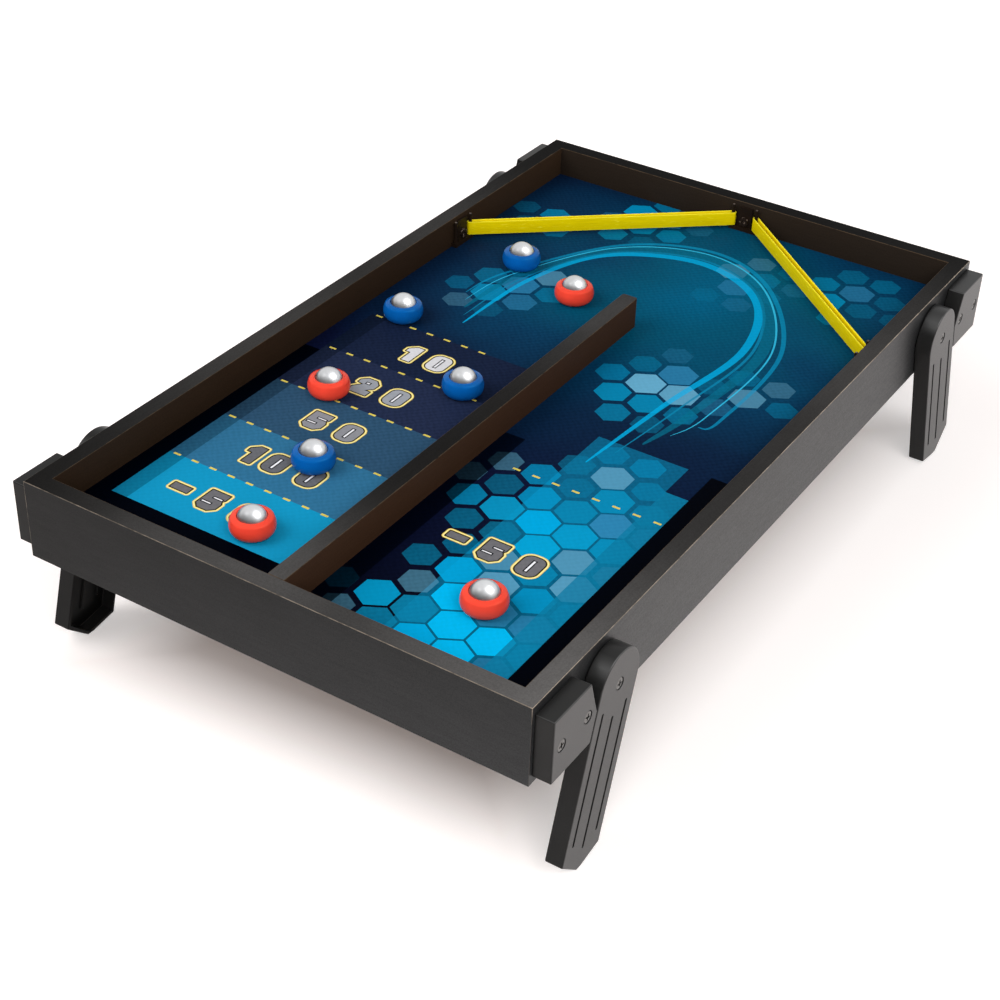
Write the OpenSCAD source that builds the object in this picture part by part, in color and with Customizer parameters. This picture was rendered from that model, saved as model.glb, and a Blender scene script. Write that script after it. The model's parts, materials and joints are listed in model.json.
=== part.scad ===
// Two-lane rebound puck game: a shallow tray on four folding legs.
// Millimetres. X runs across the lanes, Y from the players' end to the far end, Z up from the floor.

/* [Tray] */
// Outside width of the tray, across the lanes
box_w = 348; // [330:1:400]
// Outside length of the tray, along the lanes
box_l = 593; // [575:1:680]
// Height of the rails
rail_h = 53.5; // [50:0.5:62]
// Thickness of the rails
rail_t = 12; // [11:0.5:15]
// Depth of the playing surface below the rail tops
well_d = 22; // [18:0.5:24]
// Thickness of the board
board_t = 3; // [2.5:0.5:4]
// Thickness of the printed sheet on the board
print_t = 0.3; // [0.2:0.05:0.6]
// Depth of the groove that holds the board
groove_d = 4; // [3:0.5:5]
// Clearance round the board in its groove
groove_clear = 0.1; // [0.05:0.05:0.3]
// Clearance of the printed sheet to the rails
print_clear = 0.2; // [0.1:0.1:1]

/* [Divider] */
// Thickness of the lane divider
divider_t = 11.5; // [9:0.5:16]
// Length of the lane divider from the front rail
divider_l = 391; // [360:1:410]
// Distance of the divider's middle from the tray's middle
divider_shift = 1.6; // [0:0.1:4]
// Radius of the upright edges at its free end
divider_round = 1.8; // [0.5:0.1:4]
// Number of screws up through the board
divider_screws_n = 3; // [2:1:6]
// Distance of the end screws from the divider's ends
divider_screw_in = 40; // [20:1:80]
// Depth of those screws in the divider
divider_bite = 14; // [8:0.5:16]

/* [Legs] */
// Width of a leg, and height of a stop block
leg_w = 42.4; // [36:0.2:46]
// Thickness of a leg
leg_t = 11.5; // [9:0.5:14]
// Reach from the pivot to the point of the foot
leg_reach = 117.2; // [100:0.2:140]
// Slope of the two foot faces, degrees
foot_slope = 25.5; // [20:0.5:32]
// Height worn off the point so that the foot stands flat
foot_flat = 0.7; // [0.3:0.1:1.5]
// Lean of an opened leg towards the tray's end, degrees
leg_lean = 16; // [10:0.5:19]
// Distance of the pivot from the tray's end
pivot_in = 70.5; // [68:0.5:90]
// Distance between the three thin grooves
flute_pitch = 13.4; // [11:0.2:15]
// Width of a groove
flute_w = 2; // [1:0.1:3]
// Depth of a groove
flute_d = 1.2; // [0.5:0.1:2]
// Distance of the outer grooves' upper ends below the pivot
flute_top = 14.6; // [10:0.2:25]
// Length of each groove
flute_l = 81; // [60:1:84]
// How much lower the middle groove lies
flute_step = 6; // [0:0.5:8]
// Wall round the hollow in a leg's inner side
leg_wall = 2.2; // [1.6:0.1:4]
// Thickness of a leg's outer skin over its hollow
leg_skin = 2.6; // [2.2:0.1:4]
// Distance from the pivot down to the hollow
hollow_top = 25; // [22:0.5:32]
// Width of the ridge in the hollow behind a groove
ridge_w = 3.2; // [2.5:0.1:5]
// Thickness of the washer behind a leg
washer_t = 0.6; // [0.4:0.1:1.5]
// Diameter of the washer
washer_d = 16; // [12:0.5:22]

/* [Stop blocks] */
// Thickness of a stop block
block_t = 12; // [9:0.5:14]
// Distance of the block from the tray's end
block_in = 2.4; // [0.5:0.1:5]
// Length of the block's top edge
block_top_l = 37; // [33:0.5:39]
// Depth of the block's nose below the leg pivot
nose_drop = 2.7; // [0:0.1:6]
// Gap between the stop face and the opened leg
stop_gap = 0.4; // [0.2:0.05:1]
// Distance of the first block screw from the block's end
block_screw_in = 8.6; // [7:0.1:10]
// Distance between the two block screws
block_screw_pitch = 26.4; // [20:0.2:27]

/* [Screws] */
// Diameter of a screw head
head_d = 7; // [6.4:0.1:9]
// Diameter of the smaller heads on the bracket and divider screws
small_head_d = 6.6; // [6:0.1:8]
// Height of a screw head
head_h = 2.4; // [1.6:0.1:3]
// Depth of the heads below the surface round them
head_sink = 0.1; // [0.05:0.05:0.8]
// Gap round a sunk head
head_clear = 0.5; // [0.2:0.1:0.8]
// Diameter of a leg's pivot screw
pivot_d = 5; // [4:0.1:6]
// Diameter of the other screws
screw_d = 4; // [3:0.1:4.6]
// Wood left between the leg and block screws and the groove
bite_end = 0.6; // [0.3:0.1:2]
// Radial clearance of a turning leg on its screw
pivot_clear = 0.05; // [0.02:0.01:0.1]
// Radial clearance of a fixed pin or screw in its hole
hole_clear = 0.05; // [0.02:0.01:0.1]
// Width of the cross recess in a head
cross_w = 1.3; // [0.8:0.1:1.8]
// Length of the cross recess
cross_l = 4.2; // [3:0.1:5.5]
// Depth of the cross recess
cross_d = 1.4; // [0.6:0.1:1.5]
// Diameter of the brads in the mitred corners
brad_d = 1.4; // [1:0.1:2]
// Length of a brad
brad_l = 20; // [14:0.5:26]
// Depth of the brads below the rail's face
brad_sink = 0.3; // [0.1:0.1:0.8]
// Distance of the brads from the tray's ends
brad_in = 4.5; // [3:0.1:6]
// Distance of the brads from the rail's top and bottom edges
brad_edge = 11; // [8:0.5:14]

/* [Band brackets] */
// Distance of the side brackets from the tray's far end
bracket_in = 155.5; // [130:0.5:165]
// Distance between the two posts
post_pitch = 19; // [17:0.5:26]
// Diameter of a post
post_d = 2.6; // [2:0.1:2.8]
// Distance of the posts' middle from the wall
post_off = 2.5; // [2.5:0.1:5]
// Height of the bracket above the playing surface, below the posts' round tops
bracket_h = 18.6; // [15:0.2:19.8]
// Width of the plate on the wall
plate_w = 11.4; // [9:0.2:11.6]
// Thickness of the plate
plate_t = 2; // [1.2:0.1:3]
// Thickness of the bracket's foot on the board
bracket_foot_t = 2.9; // [1:0.1:3.2]
// How far the foot reaches past the posts
bracket_foot_edge = 0.7; // [0.3:0.1:1.5]
// Height of the bracket screw above the playing surface
bracket_screw_up = 7.6; // [7.2:0.1:10]
// Depth of the bracket screw in the rail
bracket_bite = 8; // [5:0.1:9]

/* [Bands] */
// Height of a band
band_h = 10.2; // [8:0.1:13]
// Thickness of a band
band_t = 0.9; // [0.6:0.1:1]
// Gap below a band and round its posts
band_clear = 0.1; // [0.05:0.05:0.25]

/* [Pucks] */
// Diameter of a puck
puck_d = 28; // [24:0.5:30]
// Height of a puck's ring
ring_h = 12.2; // [11:0.1:13]
// Radius of the ring's edges
ring_round = 4.6; // [1:0.1:5]
// Gap below the ring
ring_gap = 0.6; // [0.3:0.1:1]
// Diameter of the hole under the ball
ring_hole = 13.2; // [10:0.2:14]
// Diameter of the ball
ball_d = 18.5; // [17:0.1:19.5]
// Gap round the ball in its ring
ball_clear = 0.3; // [0.2:0.05:0.5]
// Gap below the ball
ball_gap = 0.2; // [0.1:0.05:0.3]

/* [Hidden] */
$fn = 64;
CORNERS = ["front_left", "front_right", "back_left", "back_right"];
WALLS = ["left", "back", "right"];

rail_black = "#2c2b2a";
wood_brown = "#8a6a48";
print_blue = "#12385c";
leg_grey = "#4c4b49";
metal_black = "#1d1d1d";
metal_grey = "#9a9a98";
band_yellow = "#d8c800";
puck_blue = "#0a57ad";
puck_red = "#e83a2c";
ball_steel = "#c9ccd0";

// Which side of the tray each corner is on, as [x, y]
corner_signs = [[-1, -1], [1, -1], [-1, 1], [1, 1]];
// Cutters run this far past the faces they cut
past = 1;

half_w = box_w / 2;
half_l = box_l / 2;
inner_w = box_w - 2 * rail_t;
inner_l = box_l - 2 * rail_t;

// Heights above the floor: the legs set the pivot, and the pivot is half way up the rails
pivot_z = leg_reach * cos(leg_lean) - foot_flat;
rail_z = pivot_z - rail_h / 2;
top_z = rail_z + rail_h;
play_z = top_z - well_d;
board_z = play_z - print_t - board_t;

// Legs and blocks, measured outwards from the tray's side and inwards from its end
rail_bite = rail_t - groove_d - bite_end;
leg_side = leg_reach - leg_w / 2 * tan(foot_slope);
hollow_half = leg_w / 2 - leg_wall;
hollow_tip = leg_reach - leg_wall / cos(foot_slope);
hollow_side = hollow_tip - hollow_half * tan(foot_slope);
leg_face = washer_t + leg_t;
pivot_y = half_l - pivot_in;
block_end = half_l - block_in;
block_top_end = block_end - block_top_l;
block_low_z = pivot_z - leg_w / 2;
block_high_z = pivot_z + leg_w / 2;
nose_z = pivot_z - nose_drop;
block_screw_y = [block_end - block_screw_in, block_end - block_screw_in - block_screw_pitch];

// Posts of the brackets, and the bands round them
wall_x = half_w - rail_t;
wall_y = half_l - rail_t;
bracket_y = half_l - bracket_in;
side_post = [wall_x - post_off, bracket_y + post_pitch / 2];
far_post_y = wall_y - post_off;
band_in_r = post_d / 2 + band_clear;
band_out_r = band_in_r + band_t;
band_z = play_z + bracket_foot_t + band_clear;

// Divider, and the screws along it
divider_y = -half_l + rail_t;
divider_screw_step = (divider_l - 2 * divider_screw_in) / (divider_screws_n - 1);

// Puck places, as shares of the inside width from the middle and of the inside length from the front
blue_places = [[-0.3204, 0.7359], [-0.3985, 0.5376], [-0.1256, 0.435], [-0.2077, 0.2167]];
red_places = [[-0.1432, 0.6982], [-0.3423, 0.3459], [-0.1667, 0.0844], [0.2932, 0.1151]];
ball_z = play_z + ball_gap + ball_d / 2;
ring_z = play_z + ring_gap;

// Distance from the tray's end, outwards positive, of the stop face at a height
function stop_y(z) =
    pivot_y + (leg_w / 2 + stop_gap) / cos(leg_lean) + tan(leg_lean) * (pivot_z - z);

// Turns an outline's x and y to the tray's y and z, with its thickness along x
module on_side() {
    rotate([90, 0, 90]) children();
}

// Puts a piece drawn at the back right corner at any corner
module at_corner(signs) {
    mirror([signs[0] < 0 ? 1 : 0, 0, 0])
        mirror([0, signs[1] < 0 ? 1 : 0, 0])
            children();
}

// A plain round bar along x, from a face into the tray
module side_hole(x, y, z, d, l) {
    translate([x - l, y, z]) rotate([0, 90, 0]) cylinder(d = d, h = l);
}

// A cross-headed screw: head up, the top of its head at the origin, its end at the given depth
module screw(d, depth, head) {
    difference() {
        union() {
            translate([0, 0, -head_h]) cylinder(d = head, h = head_h);
            translate([0, 0, -depth]) cylinder(d = d, h = depth - head_h);
        }
        for (turn = [0, 90])
            rotate([0, 0, turn])
                translate([-cross_l / 2, -cross_w / 2, -cross_d])
                    cube([cross_l, cross_w, cross_d + past]);
    }
}

// The same screw driven into the tray's right side from outside
module side_screw(face, y, d) {
    x = half_w + face - head_sink;
    translate([x, y, pivot_z])
        rotate([0, 90, 0])
            screw(d, face - head_sink + rail_bite, head_d);
}

// The slot that the board fills, wider than the inside by the groove on each side
module board_slot() {
    w = inner_w + 2 * groove_d;
    l = inner_l + 2 * groove_d;
    translate([-w / 2, -l / 2, board_z - groove_clear])
        cube([w, l, board_t + 2 * groove_clear]);
}

// One mitred rail on the right of a tray of the given width and length
module mitred_rail(w, l) {
    translate([0, 0, rail_z])
        linear_extrude(rail_h)
            polygon([
                [w / 2, -l / 2],
                [w / 2, l / 2],
                [w / 2 - rail_t, l / 2 - rail_t],
                [w / 2 - rail_t, -l / 2 + rail_t]
            ]);
}

// Brads at the back right corner, or the holes for them
module corner_brad_pair(clear) {
    for (z = [rail_z + brad_edge, top_z - brad_edge])
        side_hole(half_w - brad_sink, half_l - brad_in, z, brad_d + 2 * clear, brad_l);
}

module all_brad_holes() {
    for (signs = corner_signs)
        at_corner(signs) corner_brad_pair(hole_clear);
}

module corner_brads() {
    color(metal_grey)
        for (signs = corner_signs)
            at_corner(signs) corner_brad_pair(0);
}

// Holes in a side rail for its legs, blocks and band bracket
module side_rail_holes() {
    depth = rail_bite + hole_clear + past;
    for (sign = [-1, 1]) {
        side_hole(half_w + past, sign * pivot_y, pivot_z, pivot_d + 2 * hole_clear, depth);
        for (y = block_screw_y)
            side_hole(half_w + past, sign * y, pivot_z, screw_d + 2 * hole_clear, depth);
    }
    at_right_wall() bracket_screw_hole();
}

module right_rail() {
    color(rail_black)
        difference() {
            mitred_rail(box_w, box_l);
            board_slot();
            all_brad_holes();
            side_rail_holes();
        }
}

module left_rail() {
    mirror([1, 0, 0]) right_rail();
}

module back_rail() {
    color(rail_black)
        difference() {
            rotate([0, 0, 90]) mitred_rail(box_l, box_w);
            board_slot();
            all_brad_holes();
            at_back_wall() bracket_screw_hole();
        }
}

module front_rail() {
    color(rail_black)
        difference() {
            rotate([0, 0, -90]) mitred_rail(box_l, box_w);
            board_slot();
            all_brad_holes();
        }
}

module divider_screw_places() {
    for (i = [0:divider_screws_n - 1])
        translate([divider_shift, divider_y + divider_screw_in + i * divider_screw_step, board_z])
            children();
}

module board() {
    w = inner_w + 2 * (groove_d - groove_clear);
    l = inner_l + 2 * (groove_d - groove_clear);
    color(wood_brown)
        difference() {
            translate([-w / 2, -l / 2, board_z]) cube([w, l, board_t]);
            divider_screw_places()
                translate([0, 0, -past]) cylinder(d = screw_d + 2 * hole_clear, h = board_t + 2 * past);
        }
}

module print_sheet() {
    w = inner_w - 2 * print_clear;
    l = inner_l - 2 * print_clear;
    color(print_blue)
        difference() {
            translate([-w / 2, -l / 2, play_z - print_t]) cube([w, l, print_t]);
            divider_screw_places()
                cylinder(d = screw_d + 2 * hole_clear, h = board_t + print_t + past);
        }
}

module lane_divider() {
    color(rail_black)
        difference() {
            translate([divider_shift - divider_t / 2, divider_y, play_z])
                linear_extrude(well_d) {
                    square([divider_t, divider_l - divider_round]);
                    translate([divider_round, 0])
                        square([divider_t - 2 * divider_round, divider_l]);
                    for (x = [divider_round, divider_t - divider_round])
                        translate([x, divider_l - divider_round]) circle(r = divider_round);
                }
            divider_screw_places()
                cylinder(d = screw_d + 2 * hole_clear, h = board_t + print_t + divider_bite + past);
        }
}

module divider_screws() {
    color(metal_grey)
        divider_screw_places()
            translate([0, 0, -head_h])
                rotate([180, 0, 0])
                    screw(screw_d, head_h + board_t + print_t + divider_bite, small_head_d);
}

// A leg seen from outside, pivot at the origin and the foot down; x points to the tray's end
module leg_outline() {
    difference() {
        polygon([
            [leg_w / 2, leg_w / 2],
            [leg_w / 2, -leg_side],
            [0, -leg_reach],
            [-leg_w / 2, -leg_side],
            [-leg_w / 2, leg_w / 2]
        ]);
        // Rounds the head off about the pivot
        difference() {
            translate([-leg_w, 0]) square([2 * leg_w, leg_w]);
            circle(d = leg_w);
        }
        circle(d = pivot_d + 2 * pivot_clear);
    }
}

// The hollow in the same view, with one wall all round
module hollow_outline() {
    polygon([
        [hollow_half, -hollow_top],
        [hollow_half, -hollow_side],
        [0, -hollow_tip],
        [-hollow_half, -hollow_side],
        [-hollow_half, -hollow_top]
    ]);
}

// The upper ends of the three grooves; the middle one sits lower
module at_flutes() {
    for (i = [-1, 0, 1])
        translate([i * flute_pitch, -flute_top - (1 - abs(i)) * flute_step]) children();
}

module flute() {
    translate([-flute_w / 2, -flute_l]) square([flute_w, flute_l]);
    for (end = [0, flute_l])
        translate([0, -end]) circle(d = flute_w);
}

module flute_ridge() {
    translate([-ridge_w / 2, -flute_l]) square([ridge_w, flute_l]);
}

// What the hollow takes from a leg: all but the ridges behind the grooves
module leg_hollow() {
    floor_z = leg_t - leg_skin;
    difference() {
        translate([0, 0, -past]) linear_extrude(past + floor_z) hollow_outline();
        translate([0, 0, floor_z - flute_d])
            linear_extrude(flute_d + past) at_flutes() flute_ridge();
    }
}

module leg(signs) {
    color(leg_grey)
        at_corner(signs)
            difference() {
                translate([half_w + washer_t, pivot_y, pivot_z])
                    rotate([leg_lean, 0, 0])
                        on_side()
                            difference() {
                                linear_extrude(leg_t) leg_outline();
                                translate([0, 0, leg_t - flute_d])
                                    linear_extrude(flute_d + past) at_flutes() flute();
                                leg_hollow();
                                translate([0, 0, leg_t - head_sink - head_h])
                                    cylinder(d = head_d + 2 * head_clear, h = head_h + head_sink + past);
                            }
                translate([half_w, 0, -leg_w])
                    cube([leg_face + past, box_l, leg_w]);
            }
}

module leg_pivot_screws() {
    color(metal_black)
        for (signs = corner_signs)
            at_corner(signs) side_screw(leg_face, pivot_y, pivot_d);
}

module leg_washers() {
    color(metal_grey)
        for (signs = corner_signs)
            at_corner(signs)
                translate([half_w, pivot_y, pivot_z])
                    rotate([0, 90, 0])
                        difference() {
                            cylinder(d = washer_d, h = washer_t);
                            translate([0, 0, -past])
                                cylinder(d = pivot_d + 2 * hole_clear, h = washer_t + 2 * past);
                        }
}

module stop_block(signs) {
    color(leg_grey)
        at_corner(signs)
            difference() {
                translate([half_w, 0, 0])
                    on_side()
                        linear_extrude(block_t)
                            polygon([
                                [block_end, block_low_z],
                                [block_end, block_high_z],
                                [block_top_end, block_high_z],
                                [stop_y(nose_z), nose_z],
                                [stop_y(block_low_z), block_low_z]
                            ]);
                for (y = block_screw_y) {
                    side_hole(half_w + block_t + past, y, pivot_z, screw_d + 2 * hole_clear, block_t + 2 * past);
                    side_hole(half_w + block_t + past, y, pivot_z, head_d + 2 * head_clear,
                        head_h + head_sink + past);
                }
            }
}

module block_screws() {
    color(metal_black)
        for (signs = corner_signs, y = block_screw_y)
            at_corner(signs) side_screw(block_t, y, screw_d);
}

// A bracket drawn against a wall along x, which it faces from the -y side
module bracket() {
    foot_w = post_pitch + post_d + 2 * bracket_foot_edge;
    foot_l = post_off + post_d / 2 + bracket_foot_edge;
    difference() {
        union() {
            translate([-foot_w / 2, -foot_l, 0]) cube([foot_w, foot_l, bracket_foot_t]);
            translate([-plate_w / 2, -plate_t, 0]) cube([plate_w, plate_t, bracket_h]);
            for (side = [-1, 1])
                translate([side * post_pitch / 2, -post_off, 0]) {
                    cylinder(d = post_d, h = bracket_h);
                    translate([0, 0, bracket_h]) sphere(d = post_d);
                }
        }
        bracket_screw_hole();
    }
}

module at_left_wall() {
    translate([-wall_x, bracket_y, play_z]) rotate([0, 0, 90]) children();
}

module at_back_wall() {
    translate([divider_shift, wall_y, play_z]) children();
}

module at_right_wall() {
    translate([wall_x, bracket_y, play_z]) rotate([0, 0, -90]) children();
}

// The hole in the wall, from inside the plate to the screw's end
module bracket_screw_hole() {
    translate([0, -plate_t - past, bracket_screw_up])
        rotate([-90, 0, 0])
            cylinder(d = screw_d + 2 * hole_clear, h = plate_t + bracket_bite + hole_clear + past);
}

module band_bracket(wall) {
    color(metal_black) {
        if (wall == "left") at_left_wall() bracket();
        if (wall == "back") at_back_wall() bracket();
        if (wall == "right") at_right_wall() bracket();
    }
}

module bracket_screw() {
    translate([0, -plate_t - head_h, bracket_screw_up])
        rotate([90, 0, 0])
            screw(screw_d, head_h + plate_t + bracket_bite, small_head_d);
}

module bracket_screws() {
    color(metal_grey) {
        at_left_wall() bracket_screw();
        at_back_wall() bracket_screw();
        at_right_wall() bracket_screw();
    }
}

// A bar with round ends from the origin along x
module round_bar(l, r) {
    translate([0, -r]) square([l, 2 * r]);
    for (x = [0, l])
        translate([x, 0]) circle(r = r);
}

// An elastic loop round two posts
module rebound_band(from, to) {
    run = to - from;
    color(band_yellow)
        translate([from[0], from[1], band_z])
            rotate([0, 0, atan2(run[1], run[0])])
                linear_extrude(band_h)
                    difference() {
                        round_bar(norm(run), band_out_r);
                        round_bar(norm(run), band_in_r);
                    }
}

// The ring's cross section: a bar with two rounded outer edges, cut back to the hole
module ring_section() {
    outer = puck_d / 2;
    difference() {
        union() {
            square([outer - ring_round, ring_h]);
            translate([0, ring_round]) square([outer, ring_h - 2 * ring_round]);
            for (z = [ring_round, ring_h - ring_round])
                translate([outer - ring_round, z]) circle(r = ring_round);
        }
        translate([-past, -past]) square([ring_hole / 2 + past, ring_h + 2 * past]);
    }
}

module at_place(place) {
    translate([place[0] * inner_w, place[1] * inner_l - inner_l / 2, 0]) children();
}

module puck_ring(place, paint) {
    color(paint)
        at_place(place)
            difference() {
                translate([0, 0, ring_z]) rotate_extrude() ring_section();
                translate([0, 0, ball_z]) sphere(d = ball_d + 2 * ball_clear);
            }
}

module puck_ball(place) {
    color(ball_steel)
        at_place(place)
            translate([0, 0, ball_z]) sphere(d = ball_d);
}

front_rail();
back_rail();
left_rail();
right_rail();
corner_brads();
board();
print_sheet();
lane_divider();
divider_screws();
for (i = [0:3]) {
    leg(corner_signs[i]);
    stop_block(corner_signs[i]);
}
leg_pivot_screws();
leg_washers();
block_screws();
for (wall = WALLS)
    band_bracket(wall);
bracket_screws();
rebound_band([-side_post[0], side_post[1]], [divider_shift - post_pitch / 2, far_post_y]);  // rebound_band_left
rebound_band([divider_shift + post_pitch / 2, far_post_y], side_post);  // rebound_band_right
for (i = [0:3]) {
    puck_ring(blue_places[i], puck_blue);
    puck_ball(blue_places[i]);
    puck_ring(red_places[i], puck_red);
    puck_ball(red_places[i]);
}
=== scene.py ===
import bpy
import bmesh
import json
import math
import random
from mathutils import Matrix, Vector
from mathutils.geometry import delaunay_2d_cdt


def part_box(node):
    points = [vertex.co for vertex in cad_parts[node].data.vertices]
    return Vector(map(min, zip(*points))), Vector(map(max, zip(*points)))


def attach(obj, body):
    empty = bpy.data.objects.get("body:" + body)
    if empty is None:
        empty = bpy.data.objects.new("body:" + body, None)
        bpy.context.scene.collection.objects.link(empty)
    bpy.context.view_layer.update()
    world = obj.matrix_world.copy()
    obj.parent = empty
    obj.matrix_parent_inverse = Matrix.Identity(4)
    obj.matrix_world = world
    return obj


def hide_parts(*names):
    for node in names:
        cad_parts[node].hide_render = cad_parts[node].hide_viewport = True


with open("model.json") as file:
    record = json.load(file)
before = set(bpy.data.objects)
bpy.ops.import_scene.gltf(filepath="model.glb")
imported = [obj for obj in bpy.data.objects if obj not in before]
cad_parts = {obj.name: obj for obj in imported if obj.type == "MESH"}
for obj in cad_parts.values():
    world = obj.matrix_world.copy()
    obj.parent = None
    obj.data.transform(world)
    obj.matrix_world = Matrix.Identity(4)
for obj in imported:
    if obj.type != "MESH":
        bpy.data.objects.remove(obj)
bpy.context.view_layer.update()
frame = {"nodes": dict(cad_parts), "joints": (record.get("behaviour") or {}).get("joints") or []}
cadNodes = frame["nodes"]
mm = 0.001
print("frame loaded:", len(cadNodes), "nodes")


# helpers for node trees

def feed(tree, socket, value):
    if isinstance(value, bpy.types.NodeSocket):
        tree.links.new(value, socket)
    elif value is not None:
        socket.default_value = value


def addNode(tree, kind, values=(), **options):
    node = tree.nodes.new(kind)
    for name, value in options.items():
        setattr(node, name, value)
    pairs = values.items() if isinstance(values, dict) else enumerate(values)
    for key, value in pairs:
        feed(tree, node.inputs[key], value)
    return node


def calc(tree, operation, *values):
    return addNode(tree, "ShaderNodeMath", values, operation=operation).outputs[0]


def plus(tree, a, b):
    return calc(tree, "ADD", a, b)


def minus(tree, a, b):
    return calc(tree, "SUBTRACT", a, b)


def times(tree, a, b):
    return calc(tree, "MULTIPLY", a, b)


def mixColour(tree, factor, first, second, how="MIX"):
    values = {0: factor, 6: first, 7: second}
    return addNode(tree, "ShaderNodeMix", values, data_type="RGBA", blend_type=how).outputs[2]


def tinted(tree, colour, shade):
    return mixColour(tree, 1.0, colour, shade, "MULTIPLY")


def spread(tree, value, low, high, toLow=0.0, toHigh=1.0):
    return addNode(tree, "ShaderNodeMapRange", [value, low, high, toLow, toHigh]).outputs[0]


def varied(tree, value, low, high, span=(0.3, 0.7)):
    # from the range that a noise mostly keeps to
    return spread(tree, value, *span, low, high)


def noise(tree, vector, scale, detail=3.0, roughness=0.5):
    values = {"Vector": vector, "Scale": scale, "Detail": detail, "Roughness": roughness}
    return addNode(tree, "ShaderNodeTexNoise", values).outputs[0]


def stretched(tree, vector, factors):
    return addNode(tree, "ShaderNodeVectorMath", [vector, factors], operation="MULTIPLY").outputs[0]


def vectorValue(tree, operation, first, second):
    return addNode(tree, "ShaderNodeVectorMath", [first, second], operation=operation).outputs[1]


def joinXYZ(tree, x=0.0, y=0.0, z=0.0):
    return addNode(tree, "ShaderNodeCombineXYZ", [x, y, z]).outputs[0]


def splitXYZ(tree, vector):
    return addNode(tree, "ShaderNodeSeparateXYZ", [vector]).outputs


def ramp(tree, factor, stops):
    node = addNode(tree, "ShaderNodeValToRGB", [factor])
    band = node.color_ramp.elements
    while len(band) < len(stops):
        band.new(0.5)
    for element, (place, colour) in zip(band, stops):
        element.position = place
        element.color = colour
    return node.outputs[0]


def bumped(tree, height, strength, distance):
    values = {"Strength": strength, "Distance": distance, "Height": height}
    return addNode(tree, "ShaderNodeBump", values).outputs[0]


def newMaterial(name, specular, roughness, metallic=0.0):
    material = bpy.data.materials.new(name)
    material.use_nodes = True
    tree = material.node_tree
    surface = tree.nodes["Principled BSDF"].inputs
    surface["Specular IOR Level"].default_value = specular
    surface["Roughness"].default_value = roughness
    surface["Metallic"].default_value = metallic
    place = tree.nodes.new("ShaderNodeTexCoord").outputs
    return material, tree, surface, place["Object"], place["Normal"]


def coat(tree, surface, colour, roughness=None, normal=None):
    for name, value in (("Base Color", colour), ("Roughness", roughness), ("Normal", normal)):
        feed(tree, surface[name], value)


def rgb(code):
    parts = [int(code[i:i + 2], 16) / 255 for i in (0, 2, 4)]
    return tuple(p / 12.92 if p <= 0.04045 else ((p + 0.055) / 1.055) ** 2.4 for p in parts) + (1.0,)


# helpers for meshes

meshLook = {"weld": 0.002 * mm, "flat": math.radians(0.4)}


def welded(nodeName):
    # a copy of a CAD node with its corners merged
    shape = bmesh.new()
    shape.from_mesh(cadNodes[nodeName].data)
    bmesh.ops.remove_doubles(shape, verts=shape.verts, dist=meshLook["weld"])
    return shape


def cleanCopy(nodeName):
    # a welded copy with its flat faces joined
    shape = welded(nodeName)
    bmesh.ops.dissolve_limit(shape, angle_limit=meshLook["flat"], verts=shape.verts, edges=shape.edges)
    shape.normal_update()
    return shape


def bendOf(edge):
    # the angle between an edge's two faces, and more than any angle where there aren't two
    return edge.calc_face_angle(0) if len(edge.link_faces) == 2 else math.inf


def sharpEdges(shape, degrees=40):
    return [e for e in shape.edges if math.radians(degrees) < bendOf(e) < math.inf]


def roundOff(shape, edges, width, segments=2):
    alive = [e for e in edges if e.is_valid]
    made = bmesh.ops.bevel(shape, geom=alive, offset=width, offset_type="OFFSET", segments=segments,
                           profile=0.5, affect="EDGES", clamp_overlap=True, material=-1)
    shape.normal_update()
    return made["faces"]


def shadeByAngle(shape, degrees=35):
    for face in shape.faces:
        face.smooth = True
    for edge in shape.edges:
        edge.smooth = bendOf(edge) < math.radians(degrees)


def addPiece(shape, name, materials):
    mesh = bpy.data.meshes.new(name)
    shape.to_mesh(mesh)
    shape.free()
    for material in materials:
        mesh.materials.append(material)
    piece = bpy.data.objects.new(name, mesh)
    bpy.context.scene.collection.objects.link(piece)
    return piece


def settle(piece):
    # turns a piece with its modifiers into a plain mesh
    bpy.context.view_layer.update()
    evaluated = piece.evaluated_get(bpy.context.evaluated_depsgraph_get())
    shape = bpy.data.meshes.new_from_object(evaluated)
    piece.modifiers.clear()
    piece.data = shape
    return piece


def softened(piece):
    # keeps wide faces flat, so that the narrow rounded edges catch the light
    piece.modifiers.new("weigh", "WEIGHTED_NORMAL").keep_sharp = True
    return settle(piece)


def reshade(piece, degrees):
    shape = bmesh.new()
    shape.from_mesh(piece.data)
    bmesh.ops.recalc_face_normals(shape, faces=shape.faces)
    shadeByAngle(shape, degrees)
    shape.to_mesh(piece.data)
    shape.free()


def fasten(piece, body, slot, *replaced):
    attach(piece, body)
    if replaced:
        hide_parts(*replaced)


def dress(nodeName, material):
    # a CAD node that is shown as it is
    cadNodes[nodeName].data.materials.clear()
    cadNodes[nodeName].data.materials.append(material)


# camera, at the photograph's viewing angle

cameraView = {"place": (0.5370, -0.9276, 0.7709), "azimuth": 31.516, "elevation": 34.8, "roll": 2.24,
              "lens": 68.91, "sensor": 36, "nearest": 0.05}


def wayTo(azimuth, elevation):
    turn, rise = math.radians(azimuth), math.radians(elevation)
    return Vector((math.sin(turn) * math.cos(rise), -math.cos(turn) * math.cos(rise), math.sin(rise)))


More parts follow.
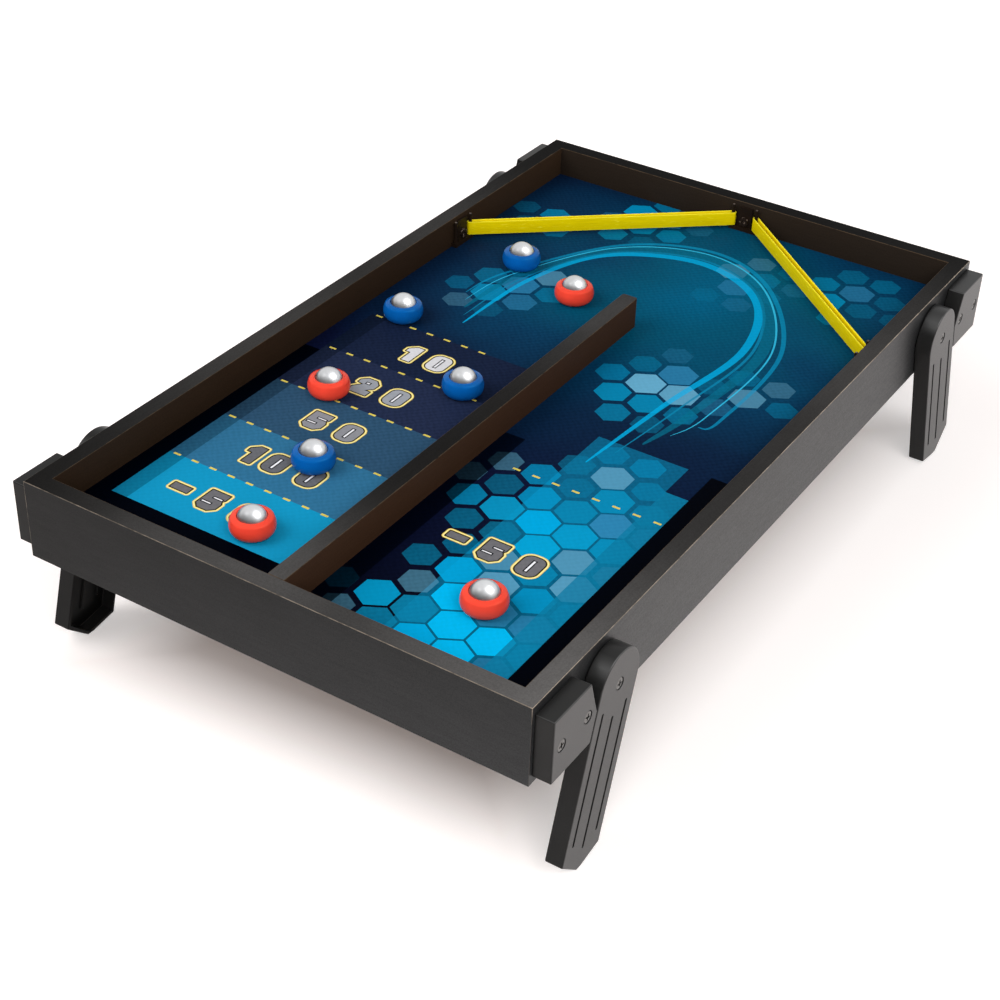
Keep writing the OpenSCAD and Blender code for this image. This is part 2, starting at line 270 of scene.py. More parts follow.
def makeCamera():
    back, roll = wayTo(cameraView["azimuth"], cameraView["elevation"]), math.radians(cameraView["roll"])
    right = Vector((0, 0, 1)).cross(back).normalized()
    up = back.cross(right)
    across = right * math.cos(roll) + up * math.sin(roll)
    upright = up * math.cos(roll) - right * math.sin(roll)
    lens = bpy.data.cameras.new("camera")
    lens.lens = cameraView["lens"]
    lens.sensor_width = cameraView["sensor"]
    lens.clip_start = cameraView["nearest"]
    camera = bpy.data.objects.new("camera", lens)
    camera.matrix_world = Matrix((across, upright, back)).transposed().to_4x4()
    camera.location = cameraView["place"]
    bpy.context.scene.collection.objects.link(camera)
    bpy.context.scene.camera = camera


makeCamera()


# studio: white floor and surroundings, three soft lamps and two glints

studio = {
    "fillColour": (1.0, 0.93, 0.91, 1), "fill": 0.32,
    "floorColour": (0.82, 0.765, 0.745, 1), "floorSize": 14.0,
    # the floor's glow: from, to and how much, by distance from the tray's outline
    "glow": ((-0.074, 0.010, 0.515), (0.15, 1.1, 0.6)),
    # the shadow is deeper at the front left: how much, and where it fades in x and y
    "deeper": 0.16, "deeperX": (-0.2, 0.05), "deeperY": (-0.28, -0.15),
    # the darker side of the mirrored sky, and where it ends to the sides and upwards
    "darkSide": (0.087, -0.996, 0.0), "darkTurn": (0.0, 0.6), "darkRise": (0.45, 0.95), "darkShare": 0.8,
    "mirroredSky": 0.78,
    # azimuth, elevation, size and watts; a glint is seen in gloss alone, and a lamp lights the matt colours
    "distance": 2.2,
    "lamps": {"leftLamp": (-44, 44, 1.6, 26), "frontLamp": (36, 36, 1.2, 18), "rightLamp": (62, 46, 0.8, 10),
              "leftGlint": (-44, 53, 0.5, 1.0), "rightGlint": (100, 57, 1.5, 18)},
}
trayLow, trayHigh = Vector(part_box("left_rail")[0]), Vector(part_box("right_rail")[1])


def seenDirectly(tree):
    # one for what the camera, metal and glass see, and zero for the light itself
    path = tree.nodes.new("ShaderNodeLightPath").outputs
    seen = calc(tree, "MAXIMUM", path["Is Camera Ray"], path["Is Glossy Ray"])
    return calc(tree, "MAXIMUM", seen, path["Is Transmission Ray"])


def outsideTray(tree, place):
    # distance on the floor from the tray's outline, less than zero below the tray
    axes = splitXYZ(tree, place)
    gaps = [minus(tree, calc(tree, "ABSOLUTE", a), half) for a, half in zip(axes[:2], trayHigh[:2])]
    clear = [calc(tree, "MAXIMUM", gap, 0.0) for gap in gaps]
    squares = [times(tree, gap, gap) for gap in clear]
    outside = calc(tree, "SQRT", plus(tree, *squares))
    return plus(tree, outside, calc(tree, "MINIMUM", calc(tree, "MAXIMUM", *gaps), 0.0))


def skyLevel(tree):
    # white, but dimmer in reflections, most of all low down on the side that the pucks' balls mirror back
    way = tree.nodes.new("ShaderNodeTexCoord").outputs["Generated"]
    facing = vectorValue(tree, "DOT_PRODUCT", way, studio["darkSide"])
    ahead = spread(tree, facing, *studio["darkTurn"])
    low = spread(tree, splitXYZ(tree, way)[2], *studio["darkRise"], 1.0, 0.0)
    lit = spread(tree, times(tree, ahead, low), 0.0, 1.0, 1.0, 1.0 - studio["darkShare"])
    mirrored = tree.nodes.new("ShaderNodeLightPath").outputs["Is Glossy Ray"]
    return spread(tree, mirrored, 0.0, 1.0, 1.0, times(tree, lit, studio["mirroredSky"]))


def makeSky():
    world = bpy.data.worlds.new("studio")
    world.use_nodes = True
    tree = world.node_tree
    tree.nodes.clear()
    fill = addNode(tree, "ShaderNodeBackground", [studio["fillColour"], studio["fill"]])
    white = addNode(tree, "ShaderNodeBackground", [(1, 1, 1, 1), skyLevel(tree)])
    both = addNode(tree, "ShaderNodeMixShader", [seenDirectly(tree), fill.outputs[0], white.outputs[0]])
    addNode(tree, "ShaderNodeOutputWorld", [both.outputs[0]])
    bpy.context.scene.world = world


def makeFloor():
    material = bpy.data.materials.new("whiteFloor")
    material.use_nodes = True
    tree = material.node_tree
    tree.nodes.clear()
    place = tree.nodes.new("ShaderNodeTexCoord").outputs["Object"]
    matte = addNode(tree, "ShaderNodeBsdfDiffuse", [studio["floorColour"]])
    away = outsideTray(tree, place)
    near, far = (spread(tree, away, start, end, 0.0, amount) for start, end, amount in studio["glow"])
    x, y, _ = splitXYZ(tree, place)
    deeper = times(tree, spread(tree, x, *studio["deeperX"], studio["deeper"], 0.0),
                   spread(tree, y, *studio["deeperY"], 1.0, 0.0))
    glow = calc(tree, "MAXIMUM", minus(tree, plus(tree, near, far), deeper), 0.0)
    shine = addNode(tree, "ShaderNodeEmission", [(1, 1, 1, 1), times(tree, seenDirectly(tree), glow)])
    both = addNode(tree, "ShaderNodeAddShader", [matte.outputs[0], shine.outputs[0]])
    addNode(tree, "ShaderNodeOutputMaterial", [both.outputs[0]])
    shape = bmesh.new()
    bmesh.ops.create_grid(shape, x_segments=1, y_segments=1, size=studio["floorSize"] / 2)
    addPiece(shape, "floor", [material])


def hangLamps():
    for name, (azimuth, elevation, size, watts) in studio["lamps"].items():
        way = wayTo(azimuth, elevation)
        light = bpy.data.lights.new(name, "AREA")
        light.energy = watts
        light.size = size
        holder = bpy.data.objects.new(name, light)
        holder.visible_glossy = name.endswith("Glint")
        holder.visible_diffuse = not holder.visible_glossy
        holder.rotation_euler = way.to_track_quat("Z", "Y").to_euler()
        holder.location = way * studio["distance"]
        bpy.context.scene.collection.objects.link(holder)


makeSky()
makeFloor()
hangLamps()
bpy.context.scene.view_settings.view_transform = "Standard"
print("camera and studio made")


# rails and divider: board in a black wrap, brown on the inside, rubbed through at the edges

railLook = {
    "face": (0.0122, 0.0127, 0.0132, 1), "faceGloss": {True: 0.14, False: 0.45},
    # the tops' paler grey is a painted sheen
    "topDark": (0.0066, 0.0063, 0.0060, 1), "topSheen": (0.115, 0.112, 0.110, 1), "topGloss": 0.015,
    # inner wall colours by kind of wall; the divider's, lighter than the rails', is painted light
    "inner": {"x": (0.0235, 0.0168, 0.0122, 1), "y": (0.031, 0.018, 0.0103, 1),
              "divider": (0.054, 0.0265, 0.0145, 1)},
    # painted shade on the inner walls, darker low down, and painted light that makes the side rails' walls
    # lighter towards the back: from where and how much
    "innerEdge": (0.084, 0.056, 0.034, 1), "innerGloss": 0.05, "innerPaintedShade": 0.14, "paintedLightToBack": (0.1, 1.55),
    # rubbed edges: where they are whole again, and how much paler the right rail's is, from front to back
    "worn": (0.225, 0.190, 0.152, 1), "edgeWidth": 0.32 * mm, "wholeFrom": 0.03,
    "rightRim": (2 * mm, 0.5 * mm), "rightSpan": (-0.1, 0.2), "rightPale": (1.6, 2.2),
    # painted light and shade on the outside: its tone from left to right and from bottom to top
    "across": (0.35, 1.65), "upwards": (1.3, 0.75),
    # the rubbed upright corners: width in all and of the core, how ragged, and how far down they show, from
    # left to right, and how much is left at the end
    "cornerWear": (0.45 * mm, 0.135 * mm), "cornerRags": (-0.2 * mm, 0.15 * mm),
    "cornerSpan": (-0.1, 0.1), "cornerReach": (60 * mm, 12 * mm), "cornerEnd": 0.1,
    # noise along and across the grain, pebbles, and the lines' share
    "grain": (60, 700), "pebbles": 1100.0, "linesShare": 0.3,
    # what the grain does to the outside, the tops and the inner walls: tone, roughness and bump
    "faceGrain": ((0.7, 1.3), (0.5, 0.38), (0.22, 0.1 * mm)),
    "topGrain": ((0.85, 1.15), (0.55, 0.42), (0.18, 0.08 * mm)),
    "innerGrain": ((0.82, 1.15), 0.5, (0.25, 0.1 * mm)),
    # tones of wide clouds on the outside and of patches in the painted sheen on the tops
    "cloudTone": (-0.1, 0.1), "sheenPatchTone": (0.85, 1.15),
    # painted sheen on the rail tops, as grey patches: x, y and reach in mm, and how grey
    "sheenPatches": ((168, -280, 95, 0.84), (-40, -290, 75, 0.45), (60, -290, 50, 0.06), (-168, -80, 110, 0.36),
               (168, 120, 70, 0.36), (168, -20, 110, 0.22), (-168, 120, 80, 0.30), (2, -270, 45, 0.16),
               (2, 85, 80, 0.40), (168, -180, 80, 0.14), (168, 215, 70, 0.16)),
}
# plain board under the wrap and below the print: colours, fibres and what they do, and clouds
boardLook = {"bare": (0.30, 0.20, 0.12, 1), "hard": (0.22, 0.135, 0.075, 1), "gloss": 0.15, "roughness": 0.8,
             "fibres": (420, 260, 420), "fibreSpan": (0.25, 0.75), "fibreTone": (0.7, 1.25),
             "fibreBump": (0.4, 0.15 * mm), "cloudTone": (-0.1, 0.1)}
grainSpan = (0.35, 0.65)
topZ = trayHigh.z
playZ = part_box("print_sheet")[1].z
halfWide, halfLong = trayHigh.x, trayHigh.y
wallX, wallY = -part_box("left_rail")[1].x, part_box("back_rail")[0].y


def grainOf(tree, place, alongX):
    low, high = railLook["grain"]
    factors = (low, high, high) if alongX else (high, low, high)
    lines = noise(tree, stretched(tree, place, factors), 1.0, 5.0, 0.6)
    pebbles = noise(tree, place, railLook["pebbles"], 3.0, 0.6)
    share = railLook["linesShare"]
    return plus(tree, times(tree, lines, share), times(tree, pebbles, 1.0 - share))


def wrapFace(alongX):
    gloss = railLook["faceGloss"][alongX]
    material, tree, surface, place, _ = newMaterial("wrapFace" + "YX"[alongX], gloss, 0.42)
    tone, rough, bump = railLook["faceGrain"]
    grain = grainOf(tree, place, alongX)
    cloud = varied(tree, noise(tree, place, 22.0, 3.0), *railLook["cloudTone"])
    shade = plus(tree, varied(tree, grain, *tone, grainSpan), cloud)
    axes = splitXYZ(tree, place)
    # painted light and shade: darker on the left, lighter on the right and low down
    shade = times(tree, shade, spread(tree, axes[0], -halfWide, halfWide, *railLook["across"]))
    shade = times(tree, shade, spread(tree, axes[2], trayLow.z, topZ, *railLook["upwards"]))
    colour = tinted(tree, railLook["face"], shade)
    # thin tan line on the upright corners of the tray
    inX = minus(tree, calc(tree, "ABSOLUTE", axes[0]), halfWide)
    inY = minus(tree, calc(tree, "ABSOLUTE", axes[1]), halfLong)
    ragged = varied(tree, noise(tree, place, 120.0, 4.0), *railLook["cornerRags"], grainSpan)
    close = plus(tree, calc(tree, "MINIMUM", inX, inY), ragged)
    wear = spread(tree, close, *(-width for width in railLook["cornerWear"]))
    # it fades downwards, sooner on the right
    lowest = [topZ - down for down in railLook["cornerReach"]]
    reach = spread(tree, axes[0], *railLook["cornerSpan"], *lowest)
    wear = times(tree, wear, spread(tree, axes[2], reach, topZ, railLook["cornerEnd"], 1.0))
    coat(tree, surface, mixColour(tree, wear, colour, railLook["worn"]),
         varied(tree, grain, *rough, grainSpan), bumped(tree, grain, *bump))
    return material


def wrapTop(alongX):
    # near black, with soft grey patches of painted sheen
    material, tree, surface, place, _ = newMaterial("wrapTop" + "YX"[alongX], railLook["topGloss"], 0.5)
    tone, rough, bump = railLook["topGrain"]
    grain = grainOf(tree, place, alongX)
    paintedSheen = 0.0
    for x, y, reach, amount in railLook["sheenPatches"]:
        away = vectorValue(tree, "DISTANCE", place, (x * mm, y * mm, topZ))
        share = calc(tree, "DIVIDE", away, reach * mm)
        fade = calc(tree, "EXPONENT", times(tree, times(tree, share, share), -1.0))
        paintedSheen = plus(tree, paintedSheen, times(tree, fade, amount))
    patchySheen = times(tree, paintedSheen, varied(tree, noise(tree, place, 16.0, 3.0), *railLook["sheenPatchTone"]))
    colour = mixColour(tree, patchySheen, railLook["topDark"], railLook["topSheen"])
    coat(tree, surface, tinted(tree, colour, varied(tree, grain, *tone, grainSpan)),
         varied(tree, grain, *rough, grainSpan), bumped(tree, grain, *bump))
    return material


def wrapInner(kind):
    (tone, rough, bump), lift = railLook["innerGrain"], railLook["innerPaintedShade"]
    name = "wrapInner" + kind.capitalize()
    material, tree, surface, place, _ = newMaterial(name, railLook["innerGloss"], rough)
    grain = grainOf(tree, place, kind == "x")
    _, y, z = splitXYZ(tree, place)
    # painted shade: darker low down the wall, lighter at the top
    shade = plus(tree, varied(tree, grain, *tone, grainSpan), spread(tree, z, playZ, topZ, -lift, lift))
    if kind == "y":
        # painted light: lighter towards the back
        start, amount = railLook["paintedLightToBack"]
        shade = times(tree, shade, spread(tree, y, start, halfLong, 1.0, amount))
    coat(tree, surface, tinted(tree, railLook["inner"][kind], shade), normal=bumped(tree, grain, *bump))
    return material


def rubbedEdge(name, colour, sharpness, leftLoss):
    # a worn edge with the black wrap left in places, most on the left, and palest along the right rail
    material, tree, surface, place, _ = newMaterial(name, 0.1, 0.6)
    x, y, _ = splitXYZ(tree, place)
    chips = noise(tree, place, 110.0, 5.0, 0.7)
    chips = plus(tree, chips, spread(tree, x, -halfWide, railLook["wholeFrom"], -leftLoss, 0.0))
    palest = spread(tree, y, *railLook["rightSpan"], *railLook["rightPale"])
    pale = spread(tree, x, *(halfWide - inwards for inwards in railLook["rightRim"]), 1.0, palest)
    rubbed = spread(tree, chips, *sharpness)
    coat(tree, surface, mixColour(tree, rubbed, railLook["topDark"], tinted(tree, colour, pale)),
         normal=bumped(tree, chips, 0.3, 0.1 * mm))
    return material


def pressedBoard(name, colour):
    material, tree, surface, place, _ = newMaterial(name, boardLook["gloss"], boardLook["roughness"])
    fibres = noise(tree, stretched(tree, place, boardLook["fibres"]), 1.0, 6.0, 0.7)
    cloud = varied(tree, noise(tree, place, 14.0, 3.0), *boardLook["cloudTone"])
    shade = plus(tree, varied(tree, fibres, *boardLook["fibreTone"], boardLook["fibreSpan"]), cloud)
    coat(tree, surface, tinted(tree, colour, shade), normal=bumped(tree, fibres, *boardLook["fibreBump"]))
    return material


sharedWraps = [pressedBoard("bareBoard", boardLook["bare"]),
               rubbedEdge("wornEdge", railLook["worn"], (0.20, 0.58), 0.175),
               rubbedEdge("innerEdge", railLook["innerEdge"], (0.26, 0.5), 0.05)]
faces, tops = [[make(alongX) for alongX in (False, True)] for make in (wrapFace, wrapTop)]
wraps = {kind: [faces[kind == "x"], tops[kind == "x"], wrapInner(kind)] + sharedWraps
         for kind in railLook["inner"]}
faceWrap, topWrap, innerWrap, bareWrap, wornWrap, innerEdgeWrap = range(6)
tiny = 0.05 * mm


def onOutside(point):
    return abs(abs(point.x) - halfWide) < tiny or abs(abs(point.y) - halfLong) < tiny


def onInnerWall(point):
    onSide = abs(abs(point.x) - wallX) < tiny and abs(point.y) < wallY + tiny
    return onSide or (abs(abs(point.y) - wallY) < tiny and abs(point.x) < wallX + tiny)


def railWrapOf(face):
    height, up = face.calc_center_median().z, face.normal.z
    if up > 0.9 and abs(height - topZ) < tiny:
        return topWrap
    if up < -0.9 and abs(height - trayLow.z) < tiny:
        return faceWrap
    if abs(up) < 0.1 and all(onOutside(v.co) for v in face.verts):
        return faceWrap
    if abs(up) < 0.1 and all(onInnerWall(v.co) for v in face.verts):
        return innerWrap
    return bareWrap


def wrapRail(nodeName, kind):
    shape = cleanCopy(nodeName)
    for face in shape.faces:
        face.material_index = railWrapOf(face)
    rims = {wornWrap: [], innerEdgeWrap: [], faceWrap: []}
    for edge in sharpEdges(shape):
        a, b = (v.co for v in edge.verts)
        if abs(a.z - b.z) > tiny or min(abs(a.z - topZ), abs(a.z - trayLow.z)) > tiny:
            continue
        if onOutside(a) and onOutside(b):
            rims[wornWrap if a.z > playZ else faceWrap].append(edge)
        elif onInnerWall(a) and onInnerWall(b):
            rims[innerEdgeWrap].append(edge)
    for wrap, edges in rims.items():
        for face in roundOff(shape, edges, railLook["edgeWidth"]):
            face.material_index = wrap
    shadeByAngle(shape)
    fasten(softened(addPiece(shape, nodeName + "_wrapped", wraps[kind])), "tray", "rail_wrap", nodeName)


def wrapDivider():
    shape = cleanCopy("lane_divider")
    for face in shape.faces:
        up = face.normal.z
        face.material_index = topWrap if up > 0.9 else bareWrap if up < -0.5 else innerWrap
    rim = [e for e in sharpEdges(shape) if all(abs(v.co.z - topZ) < tiny for v in e.verts)]
    for face in roundOff(shape, rim, railLook["edgeWidth"]):
        face.material_index = innerEdgeWrap
    shadeByAngle(shape)
    piece = softened(addPiece(shape, "lane_divider_wrapped", wraps["divider"]))
    fasten(piece, "tray", "rail_wrap", "lane_divider")


for railName, kind in (("front_rail", "x"), ("back_rail", "x"), ("left_rail", "y"), ("right_rail", "y")):
    wrapRail(railName, kind)
wrapDivider()
dress("board", pressedBoard("hardboard", boardLook["hard"]))
print("rails, divider and board wrapped")


# printed sheet: scoring zones, dashes, plain numerals and a honeycomb, all on one flat mesh, in mm

printLook = {
    "zoneFront": -251.2, "zoneLines": (-198.5, -145.5, -92.5, -40.0, 13.5),
    "zoneInks": ("1393c0", "2f6d92", "2c4e6a", "212b46", "16213a"),
    "leftEdge": -149.5, "stripe": 12.0, "black": "000209", "shade": ((0, 0.002, 0.004, 1), 0.42),
    # the right lane: its stripe and haze, each with an ink and its strength, and the black beside the divider
    "rightStripe": (122.0, 138.0), "stripeInk": ("0c7ca4", 0.85), "hazeLeft": 58, "hazeInk": ("0b86b4", 0.45),
    "hazeEnd": -30, "stripeEnd": -60, "besideDivider": (22, 0.85),
    # how far the black on the left stops short, and how far the print goes under the divider
    "short": 60, "tuck": 1,
    "dash": {"ink": "dcca5c", "length": 5.2, "width": 1.7, "pitch": 14.1},
    # first dash and how many: on the zones' lines, on the far one, and in the right lane with its line
    "leftDashes": (-143.6, 9), "farDashes": (-143.6, 7), "rightDashes": (-91.5, 35.4, 8),
    # text, middles of its signs, line and fill
    "numerals": (("10", (-97, -74.2), -15.5, "d9dade"), ("20", (-97.4, -72.2), -67.2, "9ba0a8"),
                 ("50", (-97.2, -72.1), -118.6, "8b8d93"), ("100", (-106.2, -87.6, -61.4), -172.0, "66686d"),
                 ("-50", (-118, -94, -68.5), -225.0, "6c6c70"), ("-50", (45, 69.5, 95), -171.0, "6c6c70")),
    # the ground's colours outwards from the middle of its glow
    "glow": (25, 170), "glowReach": 420, "drift": 25,
    "ground": ((0.0, "026086"), (0.16, "04526f"), (0.30, "08395a"), (0.45, "0b2440"),
               (0.66, "0c1330"), (1.0, "050818")),
    # the weave's pitch and how far it wanders, its speckle, its depth from dark to pale inks, and its finish
    "weave": 5.2, "wander": 1.0, "speckle": 0.6, "weaveInks": (0.0, 0.2), "weaveDepth": (0.15, 0.03),
    "weaveRough": (0.46, 0.36), "weaveBump": (0.08, 0.05 * mm), "seed": 11,
}
numeralLook = {"inks": ("dcbf40", "f7eaa4", "dcbf40", "14151c"), "widths": (2.35, 1.95, 1.05, 0.8),
               "core": "eceef2", "height": 19.0, "corner": 5.2,
               # sine of a turn from which corners are rounded, in how many steps, and the limit of spikes
               "roundFrom": 0.3, "roundSteps": 4, "spikeLimit": 0.35}
digits = {
    "0": {"wide": 14, "outline": None, "slots": [(5.5, 3.2, 8.5, 15.8)]},
    "1": {"wide": 11, "slots": [],
          "outline": [(4.2, 0), (10.4, 0), (10.4, 19), (5.2, 19), (0.6, 14.6), (0.6, 11.2), (4.2, 11.2)]},
    "2": {"wide": 14, "slots": [(5.0, 12.2, 9.0, 15.2)],
          "outline": [(0, 0), (14, 0), (14, 5.4), (9.6, 5.4), (14, 10), (14, 15.2), (10.4, 19), (3.6, 19),
                      (0, 15.4), (0, 12.2), (4.6, 11.3), (0, 5.6)]},
    "5": {"wide": 14, "slots": [(4.8, 11.6, 12.6, 14.2), (0.6, 5.4, 8.8, 8.0)],
          "outline": [(0, 3.2), (3.2, 0), (10.4, 0), (14, 3.6), (14, 9), (12.4, 11.6), (13.6, 13.6),
                      (13.6, 19), (0, 19)]},
    "-": {"wide": 13, "slots": [], "outline": [(0, 6.7), (13, 6.7), (13, 12.3), (0, 12.3)]},
}
cellLook = {
    "size": 14.6, "fill": 0.94, "rows": 14, "columns": 8,
    # a cell's strength in the middle of a swarm, its chance, from and by how much, and its limits
    "middle": 1.15, "chance": (0.55, 0.75), "faintest": 0.14, "strongest": 0.95,
    # the size of a faint cell, and how fast stronger ones grow
    "faintSize": 0.72, "growth": 1.6,
    "tints": ("00a9e2", "02b6ee", "0798c8", "0a83ad", "2f86b4", "66aed0"),
    # swarms: x, y, reach and strength
    "swarms": ((100, -262, 78, 1.0), (92, -200, 66, 1.0), (100, -128, 62, 1.0), (50, -250, 42, 0.7),
               (46, -120, 46, 0.8), (84, -70, 44, 0.6), (58, 42, 50, 0.85), (-92, 104, 46, 0.8),
               (-62, 252, 42, 0.75), (112, 232, 46, 0.6), (40, 214, 50, 0.45), (-128, 214, 34, 0.4),
               (118, 70, 34, 0.4)),
}
sweepLook = {
    # stripes of the sweep, side by side: width, ink and strength
    "pitch": 9.5, "stripes": ((6.5, "02aee6", 0.75), (2.4, "0b86b0", 0.8), (9.5, "06708f", 0.6),
                              (1.5, "35c6f0", 0.8), (3.6, "0a95c4", 0.6)),
    # the first stripe's way in x and y, and the share of the pitch by which the next ones lie off it
    "route": ((66, -60, 1, 2), (74, 30, 1, 0), (84, 120, 0.6, 0.3), (58, 190, 0, 0.55), (0, 216, 0, 0.55),
              (-62, 186, 0, 0.5), (-88, 120, -0.5, 0), (-92, 40, -0.6, 1)),
    # points between two of these, the share of the width at the tips, and how soon a stripe swells
    "steps": 14, "tip": 0.12, "swell": 0.7,
}


def block(x0, y0, x1, y1):
    return [(x0, y0), (x1, y0), (x1, y1), (x0, y1)]


def roundBlock(x0, y0, x1, y1, radius, steps=6):
    middles = ((x1 - radius, y0 + radius, -90), (x1 - radius, y1 - radius, 0),
               (x0 + radius, y1 - radius, 90), (x0 + radius, y0 + radius, 180))
    turns = [(x, y, math.radians(start + 90 * i / steps))
             for x, y, start in middles for i in range(steps + 1)]
    return [(x + radius * math.cos(a), y + radius * math.sin(a)) for x, y, a in turns]


def widened(outline, distance):
    # outer corners are rounded
    steps, limit = numeralLook["roundSteps"], numeralLook["spikeLimit"]
    grown = []
    for i, spot in enumerate(outline):
        a, b, c = Vector(outline[i - 1]), Vector(spot), Vector(outline[(i + 1) % len(outline)])
        u, v = (b - a).normalized(), (c - b).normalized()
        first, second = Vector((u.y, -u.x)), Vector((v.y, -v.x))
        way = (first + second).normalized()
        if distance > 0 and u.cross(v) > numeralLook["roundFrom"]:
            turns = [first.lerp(second, t / steps).normalized() for t in range(steps + 1)]
            grown.extend(tuple(b + turn * distance) for turn in turns)
        else:
            grown.append(tuple(b + way * (distance / max(way.dot(first), limit))))
    return grown


def hexagon(x, y, size):
    turns = [math.radians(60 * i + 30) for i in range(6)]
    return [(x + size * math.cos(a), y + size * math.sin(a)) for a in turns]


def ribbon(points, width):
    # a smooth stripe through the points, thin at both ends
    steps, tip, swell = (sweepLook[k] for k in ("steps", "tip", "swell"))
    path, last = [], len(points) - 1
    for i in range(last):
        p0, p1, p2, p3 = (Vector(points[min(max(i + k, 0), last)]) for k in (-1, 0, 1, 2))
        for t in (s / steps for s in range(steps)):
            bend = (2 * p0 - 5 * p1 + 4 * p2 - p3) * t * t + (3 * p1 - p0 - 3 * p2 + p3) * t ** 3
            path.append(0.5 * (2 * p1 + (p2 - p0) * t + bend))
    path.append(Vector(points[-1]))
    left, right = [], []
    for i, spot in enumerate(path):
        way = (path[min(i + 1, len(path) - 1)] - path[max(i - 1, 0)]).normalized()
        half = 0.5 * width * (tip + (1 - tip) * math.sin(math.pi * i / (len(path) - 1)) ** swell)
        side = Vector((way.y, -way.x)) * half
        right.append(tuple(spot + side))
        left.append(tuple(spot - side))
    return right + left[::-1]


def layNumeral(inks, text, centres, y, fill):
    for sign, x in zip(text, centres):
        digit = digits[sign]
        shift = Vector((x - digit["wide"] / 2, y - numeralLook["height"] / 2))
        size = (digit["wide"], numeralLook["height"], numeralLook["corner"])
        outline = digit["outline"] or roundBlock(0, 0, *size)
        placed = [tuple(Vector(p) + shift) for p in outline]
        for width, ink in zip(numeralLook["widths"], numeralLook["inks"]):
            inks.append((widened(placed, width), rgb(ink), 1.0))
        inks.append((placed, rgb(fill), 1.0))
        for slot in digit["slots"]:
            hole = [tuple(Vector(p) + shift) for p in block(*slot)]
            inks.append((hole, rgb(numeralLook["inks"][-1]), 1.0))
            inks.append((widened(hole, -numeralLook["widths"][-1]), rgb(numeralLook["core"]), 1.0))


def layDashes(inks, y, first, count):
    dash = printLook["dash"]
    halfLength, halfWidth = dash["length"] / 2, dash["width"] / 2
    for x in (first + i * dash["pitch"] for i in range(count)):
        spot = block(x - halfLength, y - halfWidth, x + halfLength, y + halfWidth)
        inks.append((spot, rgb(dash["ink"]), 1.0))


def layCells(inks, draw):
    # honeycomb cells gather in swarms and fade out round them
    size, step = cellLook["size"], cellLook["size"] * math.sqrt(3)
    rows, columns, faintSize = cellLook["rows"], cellLook["columns"], cellLook["faintSize"]
    least, more = cellLook["chance"]
    for row in range(-rows, rows + 1):
        for column in range(-columns, columns + 1):
            x, y = column * step + (row % 2) * step / 2, row * size * 1.5
            roll, tint = draw.random(), draw.choice(cellLook["tints"])
            strength = max(amount * (cellLook["middle"] - math.hypot(x - sx, y - sy) / reach)
                           for sx, sy, reach, amount in cellLook["swarms"])
            strength = min(strength * (least + more * roll), cellLook["strongest"])
            if strength > cellLook["faintest"]:
                grown = faintSize + (1 - faintSize) * min(cellLook["growth"] * strength, 1)
                inks.append((hexagon(x, y, size * cellLook["fill"] * grown), rgb(tint), strength))


def laySweeps(inks):
    # stripes that follow a puck up the right lane, round the divider's end and back
    for k, (width, ink, strength) in enumerate(sweepLook["stripes"]):
        off = sweepLook["pitch"] * k
        route = [(x + offX * off, y + offY * off) for x, y, offX, offY in sweepLook["route"]]
        inks.append((ribbon(route, width), rgb(ink), strength))


def printLayers():
    low, high = (1000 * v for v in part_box("print_sheet"))
    dividerLow, dividerHigh = (1000 * v.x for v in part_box("lane_divider"))
    dividerLeft, dividerRight = dividerLow + printLook["tuck"], dividerHigh - printLook["tuck"]
    lines = (printLook["zoneFront"],) + printLook["zoneLines"]
    black, left = rgb(printLook["black"]), printLook["leftEdge"]
    stripeLeft, stripeRight = printLook["rightStripe"]
    hazeEnd, stripeEnd = printLook["hazeEnd"], printLook["stripeEnd"]
    (hazeInk, hazy), (stripeInk, strong), (besideEnd, deep) = (
        printLook[k] for k in ("hazeInk", "stripeInk", "besideDivider"))
    inks = [(block(low.x, low.y, high.x, high.y), black, 0.0)]
    inks.append((block(printLook["hazeLeft"], low.y, stripeLeft, hazeEnd), rgb(hazeInk), hazy))
    layCells(inks, random.Random(printLook["seed"]))
    laySweeps(inks)
    for i, ink in enumerate(printLook["zoneInks"]):
        inks.append((block(left, lines[i], dividerLeft, lines[i + 1]), rgb(ink), 1.0))
    inks.append((block(left, lines[0], left + printLook["stripe"], lines[-1]), *printLook["shade"]))
    inks.append((block(stripeLeft, low.y, stripeRight, stripeEnd), rgb(stripeInk), strong))
    inks.append((block(low.x, low.y, left, lines[-1] - printLook["short"]), black, 1.0))
    inks.append((block(low.x, low.y, dividerLeft, lines[0]), black, 1.0))
    inks.append((block(stripeRight, low.y, high.x, hazeEnd), black, 1.0))
    inks.append((block(dividerRight, low.y, besideEnd, stripeEnd), black, deep))
    for y in printLook["zoneLines"]:
        layDashes(inks, y, *printLook["leftDashes" if y < 0 else "farDashes"])
    layDashes(inks, *printLook["rightDashes"])
    for numeral in printLook["numerals"]:
        layNumeral(inks, *numeral)
    return inks


